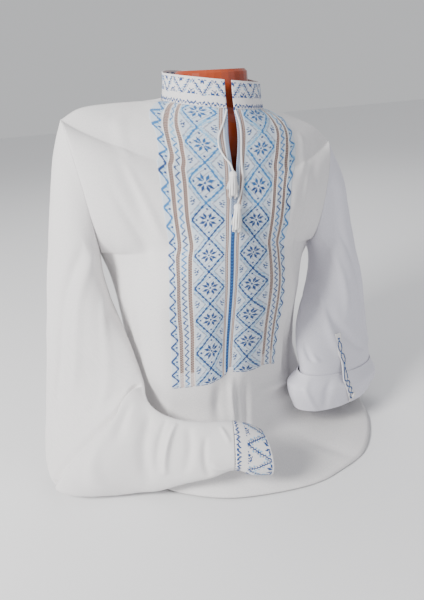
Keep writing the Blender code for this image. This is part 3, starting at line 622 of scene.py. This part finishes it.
def threads_mixed(across, along, darkness):
    """Blue of a thread that changes its shade along its length: darkness 0 is pale, 1 dark."""
    swell = 0.5 * np.sin(along * 61.0 + across * 23.0) + 0.5 * np.sin(along * 27.0 - across * 41.0)
    level = darkness + 0.28 * swell
    return np.where(level > 0.55, DARK, np.where(level > 0.22, MIDDLE, PALE))


def band_chart(across, turn, along):
    """Colours of a band of rhombs.  across is from the band's middle, turn counts rhombs, along is in
    metres."""
    step = turn - np.round(turn)
    reach = np.abs(across) / BAND_HALF + np.abs(step) * 2.0
    odd = (np.round(across / CELL) + np.round(along / CELL)) % 2.0 == 0.0
    third = (np.round(across / CELL) - np.round(along / CELL)) % 3.0 == 0.0
    colours = np.where(odd & third & (reach < 0.80), GREY, 0)
    darkness = 0.24 + 0.62 * fade(turn, 1.6, 5.0)
    outline = np.abs(reach - 1.0) < 0.072
    colours[(reach > 0.80) & (reach < 0.92) & third] = PALE
    colours[(reach > 1.10) & (reach < 1.22) & odd] = PALE
    colours[(np.abs(reach - 1.34) < 0.045)] = GREY
    colours[(np.abs(reach - 1.27) < 0.03) & third] = PALE
    colours[outline] = threads_mixed(across, along, darkness)[outline]
    column = np.round(np.abs(across) / CELL - 0.5).astype(int)
    row = np.round(np.abs(step) * RHOMB_PITCH / CELL - 0.5).astype(int)
    star = chart_read(STAR_QUARTER[::-1], column, row)
    colours[star] = np.where(odd | (turn > 3.0), DARK, MIDDLE)[star]
    colours[(row >= DOT_ALONG) & (row < DOT_ALONG + 2) & (column < 1)] = DARK
    colours[(column >= DOT_ACROSS) & (column < DOT_ACROSS + 2) & (row < 1)] = DARK
    inwards = np.round((BAND_HALF - np.abs(across)) / CELL - 0.2).astype(int)
    beside = np.round((np.abs(step) - 0.5) * -RHOMB_PITCH / CELL).astype(int)
    sign = np.where(step > 0.0, 1, -1)
    leaf = chart_read(LEAF, inwards, beside * sign + 4) & (reach > 1.42)
    colours[leaf] = DARK
    return colours


def panel_chart(across, turn, along):
    """Colours of the stitched front.  across is in metres from its middle."""
    away = np.abs(across)
    colours = np.zeros(across.shape, dtype=int)
    band = np.abs(away - BAND_MIDDLE) < BAND_HALF + CELL
    in_band = band_chart(away - BAND_MIDDLE, turn, along)
    colours[band] = in_band[band]
    lower = fade(turn, 3.0, 6.5)
    closed = turn > 3.8
    strip = away < STRIP_HALF
    crosses = (away < 3.0 * CELL) & ((np.round(along / CELL) + np.floor(away / CELL)) % 2 == 0)
    colours[crosses & ~closed] = DARK
    colours[strip & closed] = MIDDLE
    chevron = wave(along + away, CHEVRON) > 0.42
    colours[strip & closed & chevron] = DARK
    narrow = np.abs(away - NARROW_FOOT - NARROW_HEIGHT * wave(along, NARROW_TOOTH)) < NARROW_LINE
    colours[narrow] = threads_mixed(across, along, 0.38 + 0.4 * lower)[narrow]
    tooth = WIDE_FOOT + WIDE_HEIGHT * wave(along + 0.002, WIDE_TOOTH)
    edge = np.abs(away - tooth) < WIDE_LINE
    colours[edge] = threads_mixed(across, along, 0.34 + 0.6 * lower)[edge]
    odd = (np.round(along / CELL) + np.round(away / CELL)) % 2.0 == 0.0
    second = (away - tooth < -0.0026) & (away - tooth > -0.0050) & (away > 0.0858)
    colours[second & odd] = PALE
    dots = (np.abs(away - 0.0884) < 0.0015) & (wave(along + 0.002, WIDE_TOOTH) > 0.86)
    colours[dots] = DARK
    for middle in LADDERS:
        rims = np.abs(np.abs(away - middle) - LADDER_HALF - CELL / 2.0) < CELL / 2.0
        colours[rims] = WHITE
    return colours


def panel_holes(across, row):
    """Where drawn threads leave the linen open: two columns of holes in each ladder, out of step.  The
    second table holds the whole of each ladder."""
    away = np.abs(across)
    holes = np.zeros(across.shape, dtype=bool)
    ladder = np.zeros(across.shape, dtype=bool)
    for middle in LADDERS:
        ladder |= np.abs(away - middle) < LADDER_HALF
        for number, place in enumerate((-LADDER_HALF / 2.0, LADDER_HALF / 2.0)):
            column = np.abs(away - middle - place) < LADDER_HALF / 2.0
            holes |= column & ((row + number) % 2 == 0)
    return holes, ladder


# Creases of each cloth, as strokes: start, end (across, level), half width, height

FRONT_CREASES = [
    ((0.52, 10.35), (0.50, 11.45), 0.0060, 0.0040), ((0.47, 10.40), (0.45, 11.30), 0.0060, -0.0030),
    ((0.58, 10.40), (0.57, 11.60), 0.0070, -0.0035), ((0.63, 10.95), (0.80, 11.15), 0.0050, 0.0030),
    ((0.63, 11.20), (0.82, 11.35), 0.0060, -0.0025), ((0.40, 11.42), (0.55, 11.50), 0.0040, -0.0022),
    ((0.78, 9.20), (0.77, 10.90), 0.0060, -0.0040), ((0.74, 9.80), (0.74, 10.80), 0.0050, 0.0025),
    ((0.90, 11.10), (0.88, 12.60), 0.0060, 0.0035), ((0.93, 11.30), (0.91, 12.50), 0.0050, -0.0030),
    ((0.60, 12.00), (0.80, 12.30), 0.0080, 0.0020), ((0.30, 11.00), (0.22, 12.40), 0.0080, 0.0025),
    ((0.16, 4.60), (0.24, 6.40), 0.0070, 0.0022), ((0.10, 5.40), (0.22, 7.60), 0.0070, -0.0022),
    ((0.10, 2.20), (0.18, 4.60), 0.0090, 0.0014), ((0.84, 4.80), (0.80, 7.00), 0.0060, 0.0020),
    ((0.88, 5.60), (0.82, 8.20), 0.0060, -0.0022), ((0.86, 2.40), (0.80, 4.40), 0.0080, 0.0014),
    ((0.20, 8.20), (0.24, 10.40), 0.0080, 0.0020), ((0.12, 8.80), (0.16, 11.00), 0.0070, -0.0020),
    ((0.46, 12.20), (0.52, 12.80), 0.0070, 0.0018), ((0.70, 12.40), (0.74, 12.90), 0.0060, -0.0016),
]
BACK_CREASES = [
    ((0.12, 5.20), (0.24, 7.40), 0.0080, 0.0024), ((0.10, 6.30), (0.30, 9.20), 0.0070, -0.0020),
    ((0.88, 5.40), (0.76, 7.60), 0.0080, 0.0024), ((0.86, 6.80), (0.70, 9.60), 0.0070, -0.0022),
    ((0.30, 1.20), (0.26, 4.60), 0.0080, 0.0014), ((0.70, 1.40), (0.74, 4.80), 0.0080, 0.0014),
    ((0.44, 6.40), (0.42, 10.80), 0.0070, 0.0020), ((0.58, 7.20), (0.60, 11.40), 0.0070, -0.0020),
    ((0.20, 9.60), (0.40, 10.30), 0.0060, 0.0020), ((0.60, 10.40), (0.84, 11.00), 0.0060, 0.0022),
    ((0.34, 11.20), (0.36, 12.70), 0.0070, 0.0020), ((0.66, 11.60), (0.68, 12.80), 0.0070, -0.0018),
]

# Creases of the sleeves: (turn round, level), turn 0 at the outer edge, 0.5 at the inner, 0.75 in front
LONG_CREASES = [
    ((0.66, 1.2), (0.78, 6.0), 0.0070, 0.0030), ((0.72, 1.8), (0.86, 6.2), 0.0060, -0.0028),
    ((0.60, 2.8), (0.70, 7.6), 0.0070, 0.0026), ((0.88, 2.4), (0.93, 6.4), 0.0060, 0.0024),
    ((0.62, 9.1), (0.71, 9.9), 0.0080, -0.0034), ((0.74, 9.4), (0.90, 10.4), 0.0080, 0.0020),
    ((0.60, 10.5), (0.84, 11.6), 0.0080, -0.0030), ((0.57, 11.95), (0.81, 12.15), 0.0038, 0.0034),
    ((0.56, 11.4), (0.80, 11.8), 0.0050, -0.0018), ((0.60, 12.6), (0.82, 12.9), 0.0060, -0.0024),
    ((0.66, 13.4), (0.90, 13.9), 0.0050, -0.0022), ((0.60, 14.2), (0.72, 14.8), 0.0040, 0.0016),
    ((0.82, 14.0), (0.92, 14.8), 0.0040, 0.0016), ((0.30, 1.6), (0.18, 6.2), 0.0070, 0.0026),
    ((0.38, 3.0), (0.26, 7.6), 0.0070, -0.0024), ((0.12, 6.4), (0.34, 9.6), 0.0060, 0.0026),
    ((0.20, 10.4), (0.36, 13.2), 0.0060, -0.0022),
]
SHORT_CREASES = [
    ((0.64, 1.0), (0.74, 4.6), 0.0070, 0.0028), ((0.72, 1.4), (0.86, 4.8), 0.0060, -0.0024),
    ((0.56, 3.0), (0.70, 6.2), 0.0060, 0.0026), ((0.62, 4.0), (0.82, 6.4), 0.0060, -0.0024),
    ((0.86, 3.4), (0.94, 6.8), 0.0060, 0.0024), ((0.58, 6.2), (0.70, 7.6), 0.0050, 0.0024),
    ((0.54, 5.6), (0.62, 7.8), 0.0050, -0.0022), ((0.88, 6.4), (0.82, 8.2), 0.0050, 0.0020),
    ((0.30, 1.2), (0.20, 5.2), 0.0070, 0.0026), ((0.40, 3.0), (0.24, 6.8), 0.0060, -0.0024),
    ((0.14, 5.0), (0.32, 8.0), 0.0060, 0.0024),
]
ROLL_CREASES = [
    ((0.56, 0.1), (0.60, 1.9), 0.0050, 0.0018), ((0.66, 0.2), (0.64, 1.8), 0.0045, -0.0016),
    ((0.88, 0.3), (0.92, 1.9), 0.0050, 0.0016), ((0.20, 0.2), (0.24, 1.8), 0.0050, 0.0016),
    ((0.36, 0.3), (0.34, 1.9), 0.0050, -0.0014),
]


# Front and back

def outwards(facing, grid, away_from):
    """Directions turned so that they point away from a place inside."""
    return facing if np.sum(facing * (grid - away_from)) > 0.0 else -facing


def dressed(face, across, levels, seed):
    """Front or back with its creases and unevenness, and the directions out of it."""
    grid = body_grid(face, across, levels)
    facing = outwards(directions(grid), grid, MIDDLE_OF_BODY)
    level = np.array(levels)[:, None]
    strokes = FRONT_CREASES if face < 0 else BACK_CREASES
    height = creases(strokes, across, level, BODY_SPAN)
    height += SWELL * soft_noise(grid, (0.040, 0.040, 0.055), seed)
    height += RIPPLE * soft_noise(grid, (0.013, 0.013, 0.020), seed + 1)
    calm = fade(across, 0.0, 0.05) * fade(1.0 - across, 0.0, 0.05) * fade(level, 0.0, 0.6)
    height = height * calm + hem_band(level)
    return grid + facing * height[..., None], facing


def hem_band(level):
    """Double-folded hem: a little thicker, with a stitched line at its top."""
    start = 12.70
    return 0.0006 * fade(level, start, start + 0.03) - 0.0004 * np.exp(-((level - start - 0.03) / 0.02) ** 2)


# How far the panel's end hangs below its own rows, in body levels, at places across (metres)
PANEL_DROP = [
    (-0.097, 0.19), (-0.064, 0.14), (-0.035, 0.09), (-0.010, -0.02), (0.0, -0.08), (0.035, -0.05),
    (0.064, 0.09), (0.097, 0.26),
]
PANEL_CELLS = 67
PANEL_TURNS = np.arange(0.8, 9.05, CELL / RHOMB_PITCH)
DROP_STEP = 0.3


def panel_places(side, levels):
    """Places across the front of one half of the stitched panel, a row for each level."""
    away = np.arange(PANEL_CELLS + 1) * CELL
    lines = curve(STRIP_LINES, levels)
    rows = []
    for level, line in zip(levels, lines):
        across = curve(list(zip(STRIP_PLACES, line)), side * away)[:, 0]
        slit = 1.0 - fade(level, SLIT_END - 0.3, SLIT_END)
        drawn = SLIT_EDGE * slit + SLIT_SPREAD * (1.0 - fade(level, 0.0, SLIT_END))
        rows.append(across + side * drawn * np.clip(1.0 - away / STRIP_PLACES[5], 0.0, 1.0))
    return np.array(rows)


def make_panel(side, linen, threads):
    """One half of the stitched front: linen with drawn-thread ladders, and the counted embroidery on it."""
    levels = curve(RHOMB_LEVELS, PANEL_TURNS)[:, 0]
    across = panel_places(side, levels)
    edge_places = side * np.arange(PANEL_CELLS + 1) * CELL
    drop = curve(PANEL_DROP, edge_places)[:, 0][None, :] * fade(PANEL_TURNS, 6.5, 9.0)[:, None]
    grid, facing = dressed(-1, across, levels, 3)
    below = dressed(-1, across, levels + DROP_STEP, 3)[0]
    grid = grid + (below - grid) * (drop / DROP_STEP)[..., None] + facing * PANEL_LIFT
    away = side * (np.arange(PANEL_CELLS) + 0.5) * CELL
    turns = (PANEL_TURNS[:-1] + PANEL_TURNS[1:]) / 2.0
    x, turn = np.meshgrid(away, turns)
    row = np.arange(len(turns))[:, None]
    colours = panel_chart(x, turn, turn * RHOMB_PITCH)
    last = row == len(turns) - 1
    colours = np.where(last, np.where(np.round(np.abs(x) / CELL) % 3 > 0, DARK, 0), colours)
    colours = np.where((row == len(turns) - 2), 0, colours)
    holes, ladder = panel_holes(x, row)
    colours[ladder] = 0
    # The bars left between the ladders' holes get painted brown-grey shade in place of the linen's own
    # white.
    finishes_with_painted_shade = np.where(ladder, LADDER_PAINTED_SHADE, colours)
    name = "panel_right" if side < 0 else "panel_left"
    shell(name, grid, facing, [linen, *threads], keep=~holes, indices=finishes_with_painted_shade)
    stitched(name + "_stitches", grid, facing, colours, threads)


def make_front(linen):
    """Plain linen of the front round the stitched panel, with its edge tucked under the panel."""
    levels = np.linspace(0.0, LAST_LEVEL, FRONT_GRID[0])
    columns = np.linspace(0.0, 1.0, FRONT_GRID[1])
    across = np.tile(columns, (len(levels), 1))
    grid, facing = dressed(-1, across, levels, 3)
    lines = curve(STRIP_LINES, np.minimum(levels, PANEL_END))
    tuck = 0.016
    low = (lines[:, 0] + tuck)[:-1, None]
    high = (lines[:, -1] - tuck)[:-1, None]
    middle = ((columns[1:] + columns[:-1]) / 2.0)[None, :]
    covered = (middle > low) & (middle < high) & (levels[1:, None] < PANEL_END - 0.20)
    return shell("front_linen", grid, facing, [linen], keep=~covered)


def make_back(linen):
    """Plain linen back."""
    levels = np.linspace(0.0, LAST_LEVEL, BACK_GRID[0])
    across = np.tile(np.linspace(0.0, 1.0, BACK_GRID[1]), (len(levels), 1))
    grid, facing = dressed(1, across, levels, 7)
    return shell("back_linen", grid, facing, [linen])


# Sleeves

def dressed_tube(table, levels, count, side, strokes, seed, calm_ends):
    """Tube of cloth with its creases.  calm_ends are the levels between which it is creased."""
    grid = tube_grid(table, levels, count, side)
    facing = outwards(directions(grid, around=True), grid, grid.mean(axis=1, keepdims=True))
    turn = np.arange(count)[None, :] / count
    level = np.array(levels)[:, None]
    height = creases(strokes, turn, level, SLEEVE_SPAN)
    height += SWELL * soft_noise(grid, (0.030, 0.030, 0.045), seed)
    height += RIPPLE * soft_noise(grid, (0.011, 0.011, 0.016), seed + 1)
    start, end = calm_ends
    height = height * fade(level, start, start + 0.6) * (1.0 - fade(level, end - 0.3, end))
    return grid + facing * height[..., None], facing


ELBOW_LEVEL = 9.0
ELBOW_HOLLOW = 0.0100
ELBOW_RISE = 0.0100


def elbow_fold(turn, level):
    """Height of the forearm's folded edge, which stands over the hanging part of the sleeve."""
    past = level - ELBOW_LEVEL + 1.2 * (1.0 - fade(turn, 0.57, 0.68))
    front = fade(turn, 0.53, 0.60) * (1.0 - fade(turn, 0.955, 1.0))
    edge = ELBOW_RISE * fade(past, -0.06, 0.06) * (1.0 - fade(past, 0.35, 2.6))
    hollow = ELBOW_HOLLOW * np.exp(-((past + 0.26) / 0.24) ** 2)
    return (edge - hollow) * front


def make_long_sleeve(linen, threads):
    """Long sleeve and its embroidered cuff."""
    rows, count = LONG_GRID
    levels = np.linspace(0.0, 15.0, rows)
    grid, facing = dressed_tube(LONG_SLEEVE, levels, count, RIGHT, LONG_CREASES, 11, (0.0, 15.0))
    grid += facing * elbow_fold(np.arange(count)[None, :] / count, levels[:, None])[..., None]
    shell("sleeve_right_linen", grid, facing, [linen], around=True)
    rows, count = CUFF_GRID
    levels = np.linspace(15.02, 17.0, rows)
    grid, facing = dressed_tube(LONG_SLEEVE, levels, count, RIGHT, LONG_CREASES, 11, (0.0, 15.0))
    along = np.cumsum(np.full(len(levels) - 1, CELL)) - CELL / 2.0
    round_cuff = (np.arange(count) + 0.5) * CUFF_STITCH
    x, y = np.meshgrid(round_cuff, along)
    colours = border_chart(y, x, CUFF_LENGTH, CUFF_LENGTH, STAR_QUARTER, 0.0028)
    shell("cuff_right_linen", grid, facing, [linen, *threads], around=True, indices=colours)
    stitched("cuff_right_stitches", grid, facing, colours, threads, around=True)


def border_chart(along, round_it, length, middle, star_rows, line):
    """Colours of a cuff or collar band: a zigzag at its seam, plain linen, then rhombs up to a plain edge.
    middle is where the rhombs' middles lie: at the edge itself they are cut in half.  line is half the
    thickness of their outline."""
    colours = np.zeros(along.shape, dtype=int)
    teeth = np.abs(along - 0.0020 - 0.0042 * wave(round_it, 0.0062)) < 0.0014
    colours[teeth] = DARK
    half = middle - 0.0165
    step = round_it / BORDER_PITCH - np.round(round_it / BORDER_PITCH)
    reach = np.abs(along - middle) / half + np.abs(step) * 2.0
    odd = (np.round(along / CELL) + np.round(round_it / CELL)) % 2.0 == 0.0
    inside = (np.abs(along - middle) < half + 0.0010) & (along < length - 2.0 * CELL)
    outline = line / half
    colours[inside & (np.abs(reach - 1.0) < outline)] = DARK
    colours[inside & (np.abs(reach - 1.0 + 2.6 * outline) < 0.6 * outline) & odd] = PALE
    colours[inside & (np.abs(reach - 1.0 - 2.4 * outline) < 0.6 * outline)] = GREY
    colours[inside & (np.abs(reach - 1.0 - 3.8 * outline) < 0.5 * outline) & odd] = PALE
    column = np.round(np.abs(along - middle) / CELL - 0.5).astype(int)
    row = np.round(np.abs(step) * BORDER_PITCH / CELL - 0.5).astype(int)
    star = chart_read(star_rows[::-1], column, row)
    colours[inside & star & (reach < 0.78)] = DARK
    beside = np.round((0.5 - np.abs(step)) * BORDER_PITCH / CELL).astype(int)
    inwards = np.round((half - np.abs(along - middle)) / CELL).astype(int)
    leaf = chart_read(SMALL_LEAF, inwards, beside) & (reach > 1.0 + 4.4 * outline)
    colours[inside & leaf] = DARK
    return colours


ROLL_CLOSES = 0.80       # share of the way to the sleeve that the roll's upper edge goes


def make_short_sleeve(linen):
    """Rolled sleeve and the roll round its end."""
    rows, count = SHORT_GRID
    levels = np.linspace(0.0, 9.0, rows)
    grid, facing = dressed_tube(SHORT_SLEEVE, levels, count, LEFT, SHORT_CREASES, 17, (0.0, 6.6))
    shell("sleeve_left_linen", grid, facing, [linen], around=True)
    rows, count = ROLL_GRID
    levels = np.linspace(0.0, 2.0, rows)
    grid, facing = dressed_tube(ROLL, levels, count, LEFT, ROLL_CREASES, 23, (-0.5, 2.5))
    sleeve = tube_grid(SHORT_SLEEVE, levels * 0.9 + 7.2, count, LEFT)
    close = ROLL_CLOSES * (1.0 - fade(levels, 0.0, 0.7))[:, None, None]
    grid = grid + (sleeve - grid) * close
    shell("sleeve_left_roll_linen", grid, facing, [linen], around=True, thickness=ROLL_CLOTH)


# Collar

def make_collar(linen, threads):
    """Stand collar with its embroidered band, open in front."""
    rows, count = COLLAR_GRID
    half_gap = COLLAR_GAP / 2.0 / NECK_RADIUS
    angle = half_gap + (2.0 * math.pi - 2.0 * half_gap) * np.arange(count) / (count - 1)
    front = body_grid(-1, np.clip(np.where(angle < math.pi, 0.5 + angle / math.pi, angle / math.pi - 1.5),
                                  0.0, 1.0)[None, :], [0.0])[0]
    back = body_grid(1, np.clip(1.5 - angle / math.pi, 0.0, 1.0)[None, :], [0.0])[0]
    behind = (angle > math.pi / 2.0) & (angle < 1.5 * math.pi)
    seam = np.where(behind[:, None], back, front)
    away = seam - np.array([*NECK_MIDDLE, 0.0])
    away[:, 2] = 0.0
    away = unit(away)
    shares = np.linspace(0.0, 1.0, rows)
    lean = curve([(0, 0.0), (0.5, -0.0030), (1.0, -0.0042)], shares)[:, 0]
    rise = SEAM + COLLAR_HEIGHT * shares
    grid = seam[None] + away[None] * lean[:, None, None] + np.array([0.0, 0.0, 1.0]) * rise[:, None, None]
    facing = outwards(directions(grid), grid, np.array([*NECK_MIDDLE, 0.56]))
    grid = grid + facing * (0.0005 * soft_noise(grid, (0.030, 0.030, 0.030), 31))[..., None]
    heights = (shares[:-1] + shares[1:]) / 2.0 * COLLAR_HEIGHT
    y, x = np.meshgrid(np.arange(count - 1) * COLLAR_STITCH, heights)
    colours = border_chart(x, y, COLLAR_HEIGHT, COLLAR_HEIGHT, SMALL_STAR, 0.0017)
    shell("collar_linen", grid, facing, [linen, *threads], indices=colours, thickness=COLLAR_CLOTH)
    stitched("collar_stitches", grid, facing, colours, threads)


# Tab of the rolled sleeve

TAB_WIDTH = 0.014
TAB_LIFT = 0.0014
TAB_CLOTH = 0.0014
TAB_LEAVES = 6.6          # level of the short sleeve where the tab goes over to the roll
PLACE_COLUMNS = 24
TAB_TURN_TOP, TAB_TURN_END = 0.690, 0.745
TAB_START, TAB_END = 5.3, 1.75


def tube_place(table, level, turn):
    """Point of the short sleeve's or the roll's surface, and the direction out of it."""
    count = PLACE_COLUMNS
    step = 0.05
    grid = tube_grid(table, [level - step, level, level + step], count, LEFT)
    facing = outwards(directions(grid, around=True), grid, grid.mean(axis=1, keepdims=True))
    column = (turn % 1.0) * count
    low = int(column)
    share = column - low
    after = (low + 1) % count
    point = grid[1, low] * (1.0 - share) + grid[1, after] * share
    return point, unit(facing[1, low] * (1.0 - share) + facing[1, after] * share)


def make_tab(linen, threads):
    """Stitched strip that holds the roll, lying on the sleeve and then on the roll."""
    places = [(SHORT_SLEEVE, level) for level in np.linspace(TAB_START, TAB_LEAVES, 4)]
    places += [(ROLL, level) for level in np.linspace(0.0, TAB_END, 6)]
    rows = []
    for number, (table, level) in enumerate(places):
        turn = TAB_TURN_TOP + (TAB_TURN_END - TAB_TURN_TOP) * number / (len(places) - 1)
        point, direction = tube_place(table, level, turn)
        rows.append((number, *(point + direction * (TAB_LIFT + WALL)), *direction))
    fine = curve(rows, np.linspace(0.0, len(rows) - 1.0, TAB_GRID[0]))
    middles = fine[:, :3]
    outward = unit(fine[:, 3:])
    across = unit(np.cross(np.gradient(middles, axis=0), outward)) * TAB_WIDTH / 2.0
    shares = np.linspace(-1.0, 1.0, TAB_GRID[1])
    grid = middles[:, None] + across[:, None] * shares[None, :, None]
    facing = outwards(directions(grid), grid, grid - outward[:, None])
    column, row = np.meshgrid(np.arange(TAB_GRID[1] - 1), np.arange(TAB_GRID[0] - 1))
    place = row % 9
    leaf = (np.abs(np.abs(column - 4.5) - np.abs(place - 4.0) * 0.9) < 1.2) & (np.abs(column - 4.5) < 4.0)
    colours = np.where(leaf, DARK, 0)
    colours = np.where((place == 4) & (np.abs(column - 4.5) < 1.0), MIDDLE, colours)
    colours = np.where((row < 3) | (row > 57), 0, colours)
    piece = shell("tab_left_linen", grid, facing, [linen, *threads], indices=colours, thickness=TAB_CLOTH)
    work = stitched("tab_left_stitches", grid, facing, colours, threads)
    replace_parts(piece, "tab_left")


# Tie cords

def front_place(across, level, lift):
    """Point at a height off the front's surface."""
    step = 0.01
    levels = [max(level - step, 0.0), level, level + step]
    places = np.tile([across - step, across, across + step], (3, 1))
    grid = body_grid(-1, places, levels)
    facing = outwards(directions(grid), grid, MIDDLE_OF_BODY)
    return grid[1, 1] + facing[1, 1] * lift


def make_threads(name, routes, size, resolution, cotton):
    """Round threads along lists of points, as one piece that rides on the part's only body."""
    line = bpy.data.curves.new(name, "CURVE")
    line.dimensions = "3D"
    line.bevel_depth = size / 2.0
    line.bevel_resolution = resolution
    line.use_fill_caps = True
    for points in routes:
        spline = line.splines.new("POLY")
        spline.points.add(len(points) - 1)
        for number, point in enumerate(points):
            spline.points[number].co = (*point, 1.0)
    line.materials.append(cotton)
    piece = bpy.data.objects.new(name, line)
    bpy.context.scene.collection.objects.link(piece)
    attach(piece, "root")
    return piece


def make_cord(name, route, cotton):
    """Tie cord lying on the front, with the same line as its solid."""
    rows = [(number, *row) for number, row in enumerate(route)]
    count = CORD_STEPS * (len(route) - 1)
    points = []
    for number in range(count + 1):
        across, level, lift = curve(rows, number * (len(route) - 1) / count)[0]
        points.append(front_place(across, level, lift))
    piece = make_threads(name, [points], CORD_SIZE, 3, cotton)


# Tassel strands

TASSEL_UPPER = (0.490, 3.85, 0.029)
TASSEL_LOWER = (0.507, 5.15, 0.030)
STRANDS = 96
STRAND_SIZE = 0.0010
STRAND_TURN = 2.39996     # radians from one strand to the next, which spreads them evenly
HEAD_DEPTH = 0.0085       # where the strands leave the tied head
ACROSS_SPAN = 0.42        # metres of front for the whole way across
LEVEL_SPAN = 0.037        # metres of one body level at the tassels


def make_strands(name, across, level, length, cotton):
    """Loose cotton strands of a tassel, fanned out over its solid and down the front."""
    strands = []
    steps = np.linspace(0.0, 1.0, 6)
    for number in range(STRANDS):
        angle = STRAND_TURN * number
        share = math.sqrt((number + 0.5) / STRANDS)
        aside = share * math.cos(angle)
        height = share * math.sin(angle)
        reach = length * (1.0 - 0.05 * (1.0 + math.sin(5.1 * number)))
        points = []
        for step in steps:
            sideways = aside * (0.0040 + 0.0050 * step) + 0.0006 * math.sin(7.0 * step + number)
            lift = 0.0058 + height * (0.0036 - 0.0012 * step) - 0.0010 * step
            down = HEAD_DEPTH + (reach - HEAD_DEPTH) * step
            points.append(front_place(across + sideways / ACROSS_SPAN, level + down / LEVEL_SPAN, lift))
        strands.append(points)
    piece = make_threads(name, strands, STRAND_SIZE, 1, cotton)


# The piece list

def paint(node, finish):
    """Gives a solid that is shown as it is its finish."""
    node.data.materials.clear()
    node.data.materials.append(finish)
    for face in node.data.polygons:
        face.material_index = 0


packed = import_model()
nodes = packed["nodes"]
linen = linen_finish("white linen", (0.84, 0.82, 0.81), (0.64, 0.63, 0.65))
ground_linen = linen_finish("pale blue stitched ground", (0.68, 0.76, 0.84), (0.55, 0.62, 0.72))
# Painted shade: the white linen made lilac-grey for the rolled sleeve and its roll, on the side away from
# the key light.
sleeve_linen_painted_shade = linen_finish("linen with painted lilac shade", (0.80, 0.79, 0.85), (0.62, 0.61, 0.69))
threads = [
    thread_finish("dark blue thread", (0.008, 0.060, 0.230)),
    thread_finish("middle blue thread", (0.025, 0.190, 0.480)),
    thread_finish("pale blue thread", (0.220, 0.500, 0.760)),
    thread_finish("grey thread", (0.330, 0.370, 0.480)),
    thread_finish("white thread", (0.880, 0.870, 0.860)),
    # Painted shade for the bars of the drawn-thread ladders, not a thread colour.
    thread_finish("painted shade on ladder bars", (0.520, 0.390, 0.350)),
]
cotton = thread_finish("white cotton", (0.840, 0.830, 0.820))
button_finish = new_finish("pale button", (0.760, 0.750, 0.730), 0.35)[0]

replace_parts(make_front(linen), "front")
make_panel(RIGHT, ground_linen, threads)
make_panel(LEFT, ground_linen, threads)
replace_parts(make_back(linen), "back")
make_long_sleeve(linen, threads)
make_short_sleeve(sleeve_linen_painted_shade)
make_collar(linen, threads)
make_tab(linen, threads)
make_cord("cord_right_thread", CORD_RIGHT, cotton)
make_cord("cord_left_thread", CORD_LEFT, cotton)
make_strands("tassel_upper_strands", *TASSEL_UPPER, cotton)
make_strands("tassel_lower_strands", *TASSEL_LOWER, cotton)
paint(nodes["dress_form"], polish_finish())
paint(nodes["button_left"], button_finish)
paint(nodes["tassel_upper"], cotton)
paint(nodes["tassel_lower"], cotton)
shown = bpy.data.objects
for node in ("sleeve_right", "cuff_right", "sleeve_left", "sleeve_left_roll", "collar"):
    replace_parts(shown[node + "_linen"], node)
for node in ("cord_right", "cord_left"):
    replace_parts(shown[node + "_thread"], node)


# Camera, light and table

CAMERA_ANGLES = (-15.0, 22.0, 4.0)     # round, up and roll, in degrees
CAMERA_TARGET = (-0.04074, -0.084, 0.25494)
CAMERA_AWAY = 0.945
CAMERA_LENS = 35.07
LIGHT_TARGET = (0.0, 0.0, 0.28)


def add_light(name, place, size, power, tint):
    """Soft square light aimed at the shirt."""
    lamp = bpy.data.lights.new(name, "AREA")
    lamp.shape = "SQUARE"
    lamp.size = size
    lamp.energy = power
    lamp.color = tint
    holder = bpy.data.objects.new(name, lamp)
    holder.location = place
    holder.rotation_euler = (Vector(LIGHT_TARGET) - Vector(place)).to_track_quat("-Z", "Y").to_euler()
    bpy.context.scene.collection.objects.link(holder)


def add_camera():
    """Camera at the photograph's angle: from the wearer's right, looking down a little, slightly tilted."""
    turn, rise, roll = [math.radians(angle) for angle in CAMERA_ANGLES]
    back_way = Vector((math.sin(turn) * math.cos(rise), -math.cos(turn) * math.cos(rise), math.sin(rise)))
    level_right = Vector((math.cos(turn), math.sin(turn), 0.0))
    level_up = back_way.cross(level_right)
    right_way = level_right * math.cos(roll) - level_up * math.sin(roll)
    up_way = level_right * math.sin(roll) + level_up * math.cos(roll)
    place = Vector(CAMERA_TARGET) + back_way * CAMERA_AWAY
    matrix = Matrix((right_way, up_way, back_way)).transposed().to_4x4()
    matrix.translation = place
    lens = bpy.data.cameras.new("camera")
    lens.lens = CAMERA_LENS
    lens.sensor_width = 36.0
    holder = bpy.data.objects.new("camera", lens)
    holder.matrix_world = matrix
    bpy.context.scene.collection.objects.link(holder)
    bpy.context.scene.camera = holder


def add_table(finish):
    """Pale plain top under the object."""
    mesh = bmesh.new()
    bmesh.ops.create_grid(mesh, x_segments=1, y_segments=1, size=6.0)
    data = bpy.data.meshes.new("table")
    mesh.to_mesh(data)
    mesh.free()
    data.materials.append(finish)
    top = bpy.data.objects.new("table", data)
    bpy.context.scene.collection.objects.link(top)


add_light("key light", (-1.9, -0.9, 1.5), 0.7, 88.0, (1.0, 0.985, 0.96))
add_light("fill light", (1.5, -1.6, 0.9), 1.6, 5.0, (0.86, 0.87, 1.0))
add_light("back light", (0.6, 1.6, 1.9), 1.2, 14.0, (1.0, 1.0, 1.0))
sky = bpy.data.worlds.new("soft room")
sky.use_nodes = True
sky.node_tree.nodes["Background"].inputs["Color"].default_value = (0.97, 0.98, 1.0, 1.0)
sky.node_tree.nodes["Background"].inputs["Strength"].default_value = 0.62
bpy.context.scene.world = sky
add_table(new_finish("pale table", (0.86, 0.86, 0.87), 0.7)[0])
add_camera()
